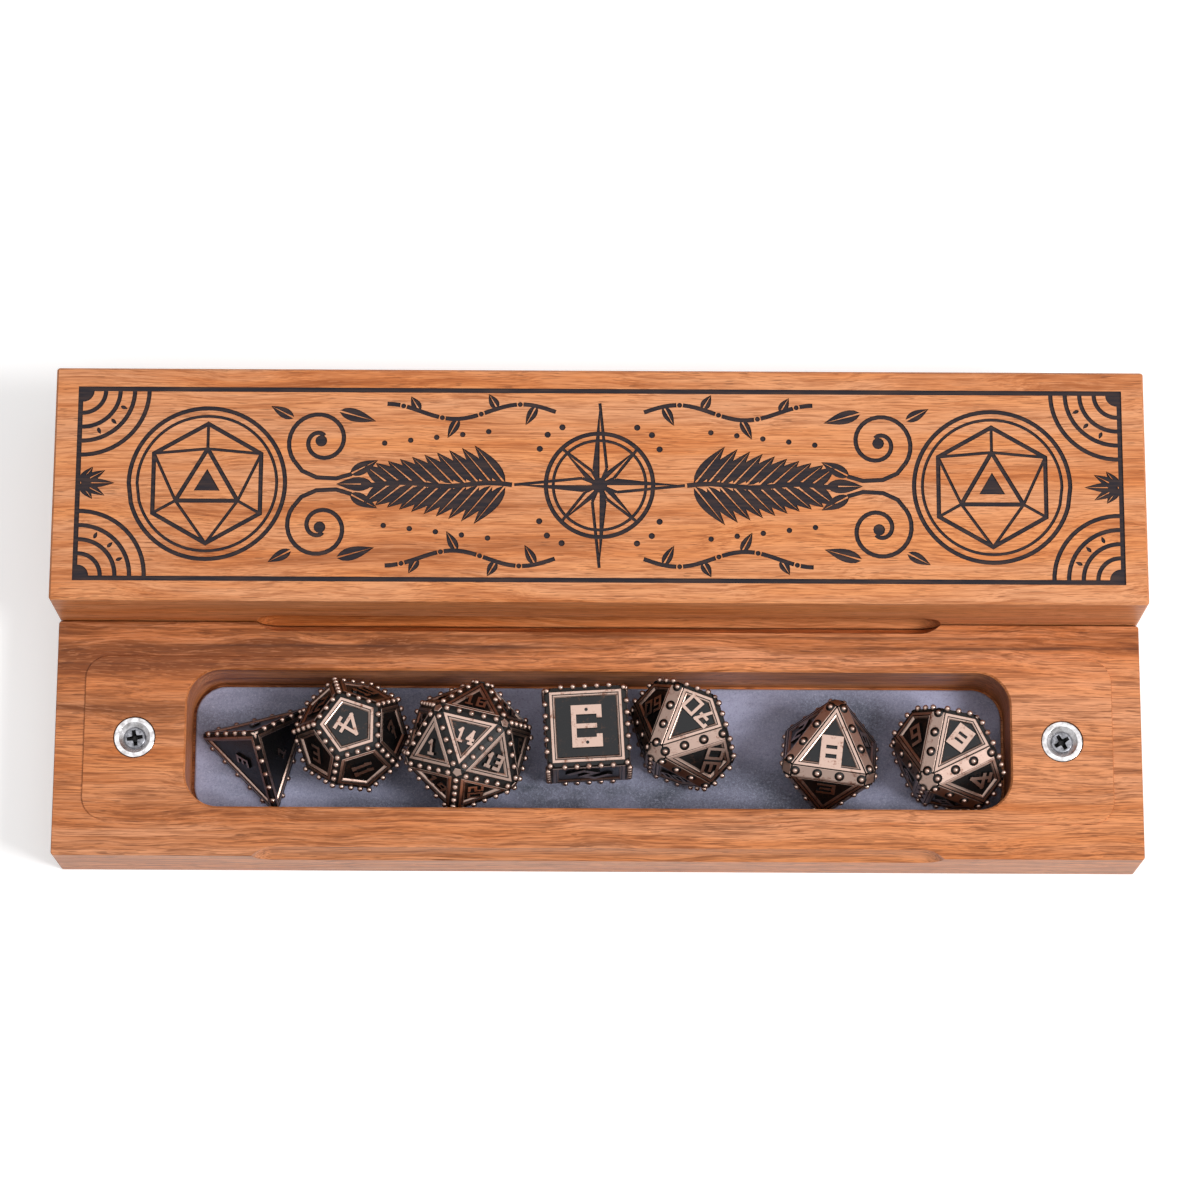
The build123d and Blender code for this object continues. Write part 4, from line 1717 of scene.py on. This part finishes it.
@dataclass
class Die:
    """One metal die: framed and sunk faces, raised numbers, and edges of beads or riveted straps.

    Each level of a face is its inset beyond the setback, its depth, and the coat of what leads to it.
    The rims are the outermost corners of the faces, by face and corner.
    """

    plan: DiePlan
    bead_setback: float = 1.0
    band_setback: float = 1.5
    panel_depth: float = 0.45
    levels: tuple[tuple[float, float, Coat], ...] = (
        (0.0, 0.16, Coat.HOLLOW), (0.03, 0.05, Coat.HOLLOW), (0.09, 0.0, Coat.MAIN), (0.55, 0.0, Coat.MAIN),
        (0.60, 0.10, Coat.DARK), (0.70, 0.12, Coat.DARK), (0.74, 0.08, Coat.MAIN), (0.94, 0.17, Coat.MAIN),
        (1.14, 0.41, Coat.MAIN), (1.18, 0.45, Coat.DARK))
    ridge_depth: float = 0.40
    cap_under_bead: float = 0.25
    strap_gap: float = 0.05
    strap_rise: float = 0.34
    strap_foot: float = 0.1
    strap_edge: float = 0.07
    plate_gap: float = 0.08
    plate_rise: float = 0.16
    rivets_in_row: int = 4
    many_faces_meet: int = 4
    number_root: float = 0.06
    number_top: float = -0.02
    dot_depth: float = 0.1
    smooth_deg: float = 1.0
    shape: Draft = field(default_factory=bmesh.new)
    straps: Draft = field(default_factory=bmesh.new)
    numbers: Draft = field(default_factory=bmesh.new)
    rims: dict[tuple[int, int], bmesh.types.BMVert] = field(default_factory=dict)
    beads: list[tuple[Vector, Vector]] = field(default_factory=list)
    rivets: list[tuple[Vector, Vector]] = field(default_factory=list)

    def __post_init__(self) -> None:
        """Read the die's solid."""
        self.node = "die_" + self.plan.name
        self.solid = Solid(self.node, self.plan.faces)

    def build(self, studs: Studs, coats: Sequence[Finish]) -> None:
        """Put the die's pieces in the scene in place of its CAD solid.

        Args:
            studs: Makes the beads and rivets.
            coats: Finishes of what stands out, of the panels, and of the ground under the beads.
        """
        self.shell()
        self.edges()
        self.corners()
        self.piece("shell", Maker.mesh(self.shape, coats, self.smooth_deg), [self.node])
        for mark in self.all_marks():
            self.number(mark)
        self.piece("numbers", Maker.mesh(self.numbers, coats[:2], self.smooth_deg))
        if len(self.straps.verts):
            self.piece("straps", Maker.mesh(self.straps, coats[:2], self.smooth_deg))
        else:
            self.straps.free()
        if self.beads:
            self.piece("beads", studs.mesh(studs.bead_tree, self.beads, studs.bead_sizes()))
        if self.rivets:
            self.piece("rivets", studs.mesh(studs.rivet_tree, self.rivets, studs.rivet_sizes()))

    def piece(self, part: str, mesh: bpy.types.Mesh, replaced: Sequence[str] = ()) -> None:
        """Put one part of the die in the scene."""
        Maker.piece(f"{self.node}_{part}", mesh, self.plan.name, "dice_metal", replaced)

    def style(self, first: int, second: int) -> EdgeStyle:
        """Tell how the edge between two corners is worked."""
        at_pole = self.plan.faces == 10 and (self.is_pole(first) or self.is_pole(second))
        return EdgeStyle.BAND if at_pole or self.plan.faces == 8 else EdgeStyle.BEADS

    def is_pole(self, corner: int) -> bool:
        """Tell whether many faces meet in a corner."""
        return len(self.solid.touching[corner]) >= self.many_faces_meet

    def setback(self, first: int, second: int) -> float:
        """Tell how far a worked edge is set back into its faces."""
        return self.band_setback if self.style(first, second) is EdgeStyle.BAND else self.bead_setback

    def edge_out(self, first: int, second: int) -> Vector:
        """Give the direction that looks straight out of the edge between two corners."""
        both = [f for f in self.solid.touching[first] if f in self.solid.touching[second]]
        return (self.solid.normals[both[0]] + self.solid.normals[both[1]]).normalized()

    def on_edge(self, first: int, second: int, along: float, depth: float) -> Vector:
        """Give a point at a distance from an edge's first corner, sunk below the edge."""
        start, end = self.solid.corners[first], self.solid.corners[second]
        return start + (end - start).normalized() * along - self.edge_out(first, second) * depth

    def spokes(self, corner: int) -> list[tuple[int, int]]:
        """List a corner's faces in order round it, each with the far corner of its next edge.

        Args:
            corner: The corner.

        Returns:
            The faces and far corners.
        """
        solid = self.solid
        order = self.round_corner(corner)
        found = []
        for face, after in zip(order, order[1:] + order[:1]):
            shared = [k for k in solid.loops[face] if k != corner and after in solid.touching[k]]
            found.append((face, shared[0]))
        return found

    def shell(self) -> None:
        """Add the body with its framed faces."""
        for f, loop in enumerate(self.solid.loops):
            normal = self.solid.normals[f]
            points = [self.solid.corners[k] for k in loop]
            back = [self.setback(a, b) for a, b in zip(loop, loop[1:] + loop[:1])]
            before = None
            for extra, sink, coat in self.levels:
                moved = inset(points, normal, [s + extra for s in back], sink)
                ring = [self.shape.verts.new(p) for p in moved]
                if before is None:
                    self.rims.update({(f, k): vert for k, vert in zip(loop, ring)})
                else:
                    band(self.shape, before, ring, coat)
                before = ring
            self.shape.faces.new(before).material_index = Coat.DARK
        self.caps(self.ridges())

    def edge_list(self) -> Iterator[tuple[int, int, int, int]]:
        """List every edge once, by its two faces and its two corners."""
        for f, loop in enumerate(self.solid.loops):
            for a, b in zip(loop, loop[1:] + loop[:1]):
                other = self.solid.neighbour(f, a, b)
                if f < other:
                    yield f, other, a, b

    def ridges(self) -> dict:
        """Join the faces' rims along the edges, over a dark ridge where beads sit.

        Returns:
            The ridges' ends by near and far corner.
        """
        faces, rims = self.shape.faces, self.rims
        ends = {}
        for f, other, a, b in self.edge_list():
            near = (rims[f, a], rims[f, b])
            far = (rims[other, b], rims[other, a])
            if self.style(a, b) is EdgeStyle.BAND:
                faces.new(near + far).material_index = Coat.HOLLOW
                continue
            for start, end in ((a, b), (b, a)):
                place = self.on_edge(start, end, self.plan.corner_reach, self.ridge_depth)
                ends[start, end] = self.shape.verts.new(place)
            faces.new(near + (ends[b, a], ends[a, b])).material_index = Coat.HOLLOW
            faces.new(far + (ends[a, b], ends[b, a])).material_index = Coat.HOLLOW
        return ends

    def caps(self, ridges: dict) -> None:
        """Close every corner with a fan.

        Args:
            ridges: The ridges' ends by near and far corner.
        """
        for k, corner in enumerate(self.solid.corners):
            ring = []
            for face, far in self.spokes(k):
                ring.append(self.rims[face, k])
                if (k, far) in ridges:
                    ring.append(ridges[k, far])
            middle = sum((vert.co for vert in ring), Vector()) / len(ring)
            if self.corner_style(k) is CornerStyle.BEAD:
                middle = corner - self.corner_out(k) * (self.plan.corner_depth + self.cap_under_bead)
            tip = self.shape.verts.new(middle)
            for one, other in zip(ring, ring[1:] + ring[:1]):
                self.shape.faces.new((one, other, tip)).material_index = Coat.HOLLOW

    def corner_style(self, corner: int) -> CornerStyle:
        """Tell how a corner is worked."""
        return CornerStyle.PLATE if self.plan.faces == 10 and self.is_pole(corner) else self.plan.corner

    def corner_out(self, corner: int) -> Vector:
        """Give the direction that looks straight out of a corner."""
        return (self.solid.corners[corner] - self.solid.centre).normalized()

    def round_corner(self, corner: int) -> list[int]:
        """List a corner's faces in order round it.

        Args:
            corner: The corner.

        Returns:
            The faces.
        """
        solid = self.solid
        axis = self.corner_out(corner)
        side = axis.orthogonal().normalized()
        other = axis.cross(side)

        def turn(face: int) -> float:
            """Give the angle at which a face lies round the corner."""
            away = solid.middle(face) - solid.corners[corner]
            return math.atan2(away.dot(other), away.dot(side))

        return sorted(solid.touching[corner], key=turn)

    def edges(self) -> None:
        """Set beads or a strap on every edge."""
        for f, other, a, b in self.edge_list():
            out = self.edge_out(a, b)
            if self.style(a, b) is EdgeStyle.BAND:
                ends = (self.rims[f, a], self.rims[f, b], self.rims[other, b], self.rims[other, a])
                self.strap([vert.co for vert in ends], out)
            else:
                self.bead_row(a, b, out)

    def bead_row(self, first: int, second: int, out: Vector) -> None:
        """Set a row of beads along an edge.

        Args:
            first: The corner at one end.
            second: The corner at the other end.
            out: The direction out of the edge.
        """
        start, end = self.solid.corners[first], self.solid.corners[second]
        length = (end - start).length
        for k in range(self.plan.beads):
            share = 0.5 + (k - (self.plan.beads - 1) / 2) * self.plan.pitch / length
            self.beads.append((start.lerp(end, share) - out * self.plan.bead_depth, out))

    def strap(self, quad: list[Vector], out: Vector) -> None:
        """Add a raised strap on an edge, and set its rivets.

        Args:
            quad: The corners of the ground between the two faces.
            out: The direction out of the edge.
        """
        if (quad[1] - quad[0]).cross(quad[2] - quad[1]).dot(out) < 0:
            quad = quad[::-1]
        self.plate(quad, out, self.strap_gap, self.strap_rise)
        long_side = 0 if (quad[1] - quad[0]).length > (quad[2] - quad[1]).length else 1
        start = (quad[long_side] + quad[long_side - 1]) / 2
        end = (quad[long_side + 1] + quad[(long_side + 2) % 4]) / 2
        along = (end - start).normalized() * self.plan.rivet_pitch
        for k in range(self.rivets_in_row):
            place = (start + end) / 2 + along * (k - (self.rivets_in_row - 1) / 2)
            self.rivets.append((place + out * self.strap_rise, out))

    def plate(self, outline: list[Vector], out: Vector, gap: float, rise: float) -> None:
        """Add a raised flat plate with a chamfered edge.

        Args:
            outline: The ground's corners, anticlockwise from outside.
            out: The outward direction.
            gap: Gap between the plate and the ground's edge.
            rise: Height of its top above the ground.
        """
        steps = ((gap, self.strap_foot), (gap, self.strap_edge - rise), (gap + self.strap_edge, -rise))
        rings = []
        for by, sink in steps:
            moved = inset(outline, out, [by] * len(outline), sink)
            rings.append([self.straps.verts.new(p) for p in moved])
        band(self.straps, rings[0], rings[1], Coat.DARK)
        band(self.straps, rings[1], rings[2], Coat.MAIN)
        self.straps.faces.new(rings[-1]).material_index = Coat.MAIN
        self.straps.faces.new(rings[0][::-1]).material_index = Coat.DARK

    def corners(self) -> None:
        """Set a bead or a small plate on every corner that has one."""
        for k, corner in enumerate(self.solid.corners):
            out = self.corner_out(k)
            style = self.corner_style(k)
            if style is CornerStyle.BEAD:
                self.beads.append((corner - out * self.plan.corner_depth, out))
            if style is CornerStyle.PLATE:
                spokes = self.spokes(k)
                if self.style(k, spokes[0][1]) is EdgeStyle.BAND:
                    ring = [self.rims[face, k].co for face, _ in spokes]
                    rise = self.strap_rise
                else:
                    reach = self.plan.corner_reach
                    ring = [self.on_edge(k, far, reach, self.ridge_depth) for _, far in spokes]
                    rise = self.plate_rise
                middle = sum(ring, Vector()) / len(ring)
                flat = [p - out * (p - middle).dot(out) for p in ring]
                self.plate(flat, out, self.plate_gap, rise)

    def all_marks(self) -> Iterator[Mark]:
        """List one mark for each face, a plain one where the plan has none."""
        taken = {self.face_towards(mark.toward): mark for mark in self.plan.marks}
        spare = iter(self.spare_numbers())
        for f, normal in enumerate(self.solid.normals):
            if f in taken:
                yield taken[f]
            else:
                yield Mark(next(spare), tuple(normal), None, self.plan.plain_height)

    def spare_numbers(self) -> list[str]:
        """List the numbers for the faces out of view.

        Returns:
            The numbers that no mark in view has used, and then all of them again.
        """
        if self.plan.faces == 10:
            numbers = [str(n) + ("0" if self.plan.tens else "") for n in range(10)]
        else:
            numbers = [str(n) for n in range(1, self.plan.faces + 1)]
        used = [mark.text for mark in self.plan.marks]
        return [n for n in numbers if n not in used] + numbers

    def face_towards(self, direction: Sequence[float]) -> int:
        """Find the face that looks most nearly in a direction."""
        aim = Vector(direction)
        return max(range(self.plan.faces), key=lambda f: self.solid.normals[f].dot(aim))

    def number(self, mark: Mark) -> None:
        """Add a raised number on its face.

        Args:
            mark: The number.
        """
        f = self.face_towards(mark.toward)
        normal = self.solid.normals[f]
        up = Vector(mark.up) if mark.up else self.lead(f)
        up = (up - normal * up.dot(normal)).normalized()
        place = Matrix((up.cross(normal), up, normal)).transposed().to_4x4()
        place.translation = self.solid.middle(f)
        foot = -self.panel_depth - self.number_root
        shapes = Glyphs.shapes(mark)
        Outline.prism(self.numbers, shapes, place, foot, self.number_top, Coat.MAIN, Coat.DARK)
        for dot in Glyphs.dots(mark):
            Outline.prism(self.numbers, [dot], place, -self.dot_depth, 0.0, Coat.DARK, Coat.DARK)

    def lead(self, face: int) -> Vector:
        """Give the direction from a face's middle to its pole, or to its first corner."""
        poles = [k for k in self.solid.loops[face] if self.plan.faces == 10 and self.is_pole(k)]
        return self.solid.corners[(poles + self.solid.loops[face])[0]] - self.solid.middle(face)


UP = (0.0, 0.0, 1.0)
DICE = (
    DiePlan("d4", 4, 5, 3.6, (), 3.4, CornerStyle.PLATE, 2.4, bead_depth=0.44),
    DiePlan("d12", 12, 3, 2.05, (
        Mark("4", UP, (0.86, -0.51, 0.0), 4.8, 0.90, 0.13),
        Mark("11", (0.27, -0.85, 0.45), (0.85, 0.5, 0.0), 3.9, 0.34, 0.2),
    ), 3.8, CornerStyle.BEAD, 1.0, 0.2),
    DiePlan("d20", 20, 5, 2.41, (
        Mark("14", UP, (0.3, 0.9, 0.0), 2.9, 0.55, 0.17, (0.0, -0.5)),
        Mark("13", (0.49, -0.45, 0.75), (0.35, 0.85, 0.2), 3.1, 0.55, 0.2),
    ), 3.0, CornerStyle.PLATE, 1.45),
    DiePlan("d6", 6, 5, 2.33, (
        Mark("3", UP, (0.052, -0.998, 0.0), 8.3, 0.71, blocky=True),
    ), 8.0, CornerStyle.BEAD, 1.5, 1.05),
    DiePlan("d10_tens", 10, 3, 2.2, (
        Mark("70", UP, None, 3.5, 0.84, 0.17, (0.0, -1.4)),
        Mark("30", (0.24, -0.75, 0.62), None, 3.6, 0.80, 0.18, (0.0, -1.4)),
    ), 3.3, CornerStyle.PLAIN, 1.0, tens=True, rivet_pitch=3.9),
    DiePlan("d8", 8, 0, 1.0, (
        Mark("8", UP, (0.11, 0.99, 0.0), 6.4, 0.66, shift=(0.0, -0.7), blocky=True),
        Mark("3", (-0.13, -0.93, 0.33), (0.0, 0.0, 1.0), 3.6, 1.0, 0.2, (0.0, 0.8)),
    ), 5.0, CornerStyle.PLATE, 1.0, rivet_pitch=4.3),
    DiePlan("d10_units", 10, 3, 2.2, (
        Mark("8", UP, None, 4.7, 0.78, shift=(0.0, -0.4), blocky=True),
        Mark("4", (0.35, -0.7, 0.62), None, 4.6, 0.8, 0.15, (0.0, -0.6)),
    ), 4.2, CornerStyle.PLAIN, 1.0, rivet_pitch=3.9),
)


@dataclass(frozen=True)
class Softbox:
    """A square softbox that points at the object.

    Its centre and side are in millimetres.
    """

    name: str
    place: Triple
    side: float
    watts: float

    def build(self) -> None:
        """Hang it."""
        data = bpy.data.lights.new(self.name, "AREA")
        data.shape = "SQUARE"
        data.size = self.side * MM
        data.energy = self.watts
        lamp = add_object(self.name, data)
        lamp.location = Vector(self.place) * MM
        lamp.rotation_euler = (-Vector(self.place)).to_track_quat("-Z", "Y").to_euler()


@dataclass(frozen=True)
class Studio:
    """The pale floor, the soft light and the camera at the photo's angle."""

    lens_mm: float = 120.588
    azimuth_deg: float = 0.211
    elevation_deg: float = 76.125
    roll_deg: float = 0.480
    distance: float = 784.44
    target: Triple = (0.203, 4.853, 15.0)
    clip: tuple[float, float] = (0.01, 30.0)
    floor_half: float = 1800.0
    floor_grey: float = 0.8
    glow_near: float = 0.42
    glow_from: float = 220.0
    glow_full: float = 800.0
    plain_level: float = 0.09
    lamps: tuple[Softbox, ...] = (Softbox("overhead", (-60, -60, 1300), 1700, 11.0),
                                  Softbox("side", (950, -330, 1120), 440, 17.0))

    def build(self) -> None:
        """Put everything that isn't the object in the scene."""
        bpy.context.scene.view_settings.view_transform = "Standard"
        self.camera()
        self.floor()
        self.world()
        for lamp in self.lamps:
            lamp.build()

    def camera(self) -> None:
        """Set the camera where the photo's was."""
        turn, rise, roll = (math.radians(a) for a in (self.azimuth_deg, self.elevation_deg, self.roll_deg))
        back = Vector((-math.sin(turn) * math.cos(rise), -math.cos(turn) * math.cos(rise), math.sin(rise)))
        right = (-back).cross(Vector(UP)).normalized()
        up = right.cross(-back)
        rolled = right * math.cos(roll) + up * math.sin(roll)
        upright = up * math.cos(roll) - right * math.sin(roll)
        data = bpy.data.cameras.new("camera")
        data.lens = self.lens_mm
        data.clip_start, data.clip_end = self.clip
        camera = add_object("camera", data)
        place = Matrix((rolled, upright, back)).transposed().to_4x4()
        place.translation = (Vector(self.target) + back * self.distance) * MM
        camera.matrix_world = place
        bpy.context.scene.camera = camera

    @staticmethod
    def seen_share(graph: Graph) -> Socket:
        """Tell the rays that come from the camera, a mirror or glass.

        Args:
            graph: The graph of a material or world.

        Returns:
            The socket that gives 1 for these rays, and 0 for the others.
        """
        path = graph.node("ShaderNodeLightPath").outputs
        either = graph.math("MAXIMUM", path["Is Camera Ray"], path["Is Glossy Ray"])
        return graph.math("MAXIMUM", either, path["Is Transmission Ray"])

    def floor(self) -> None:
        """Lay the floor, white to the camera but for the object's shadow."""
        made, graph = new_material("studio_floor")
        grey = (self.floor_grey,) * 3 + (1.0,)
        matt = graph.node("ShaderNodeBsdfDiffuse", {"Color": grey}).outputs[0]
        own = graph.own()
        reach = graph.node("ShaderNodeVectorMath", {0: own}, operation="LENGTH").outputs["Value"]
        level = graph.share(reach, self.glow_from * MM, self.glow_full * MM, self.glow_near, 1.0)
        lift = graph.math("MULTIPLY", self.seen_share(graph), level)
        glow = graph.node("ShaderNodeEmission", {"Strength": lift}).outputs[0]
        both = graph.node("ShaderNodeAddShader", {0: matt, 1: glow}).outputs[0]
        graph.node("ShaderNodeOutputMaterial", {"Surface": both})
        half = self.floor_half * MM
        corners = [(-half, -half, 0), (half, -half, 0), (half, half, 0), (-half, half, 0)]
        mesh = bpy.data.meshes.new("floor")
        mesh.from_pydata(corners, [], [(0, 1, 2, 3)])
        mesh.materials.append(made)
        floor = add_object("floor", mesh)

    def world(self) -> None:
        """Give even light from all round, seen as white."""
        world = bpy.data.worlds.new("studio")
        world.use_nodes = True
        bpy.context.scene.world = world
        graph = Graph(world.node_tree)
        level = graph.math("MULTIPLY", self.seen_share(graph), 1.0 - self.plain_level)
        strength = graph.math("ADD", level, self.plain_level)
        light = graph.node("ShaderNodeBackground", {"Color": (1, 1, 1, 1), "Strength": strength}).outputs[0]
        graph.node("ShaderNodeOutputWorld", {"Surface": light})


def refinish(node: str, material: Finish) -> None:
    """Give a CAD node that stays a new material.

    Args:
        node: The CAD node.
        material: The material.
    """
    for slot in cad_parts[node].material_slots:
        slot.material = material
    log.info("%s: kept, refinished", node)


def main() -> None:
    """Build the studio and every piece."""
    logging.basicConfig(level=logging.INFO, format="%(name)s: %(message)s")
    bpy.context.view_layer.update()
    Studio().build()
    refinish("tray_body", TRAY_WOOD.material())
    refinish("base_body", BASE_WOOD.material())
    EngravedLid().build(LID_WOOD.material(), BurntFinish().material())
    felt = FeltFinish().material()
    halves = (("tray", "tray", False), ("base", "box", False), ("lid", "lid", True))
    for half, body, down in halves:
        Lining(half + "_lining", body, down).build(felt)
    # The third finish is the dark grey that paints the shade in the screws' recesses.
    nickel, steel, recess_shade = NICKEL.material(), STEEL.material(), RECESS_SHADE.material()
    for half, body, down in halves:
        for side, recess_turn_deg in (("left", 10.0), ("right", 32.0)):
            Fastening(half, side, body, recess_turn_deg, down).build(nickel, steel, recess_shade)
    bright, dark, hollow = COPPER.material(), DARK_METAL.material(), HOLLOW_METAL.material()
    # The black finish of the hollows also colours the thin disc round each rivet head, which paints the shade
    # round the dome.
    studs = Studs(bright, hollow)
    for plan in DICE:
        Die(plan).build(studs, (bright, dark, hollow))


if __name__ == "__main__":
    main()
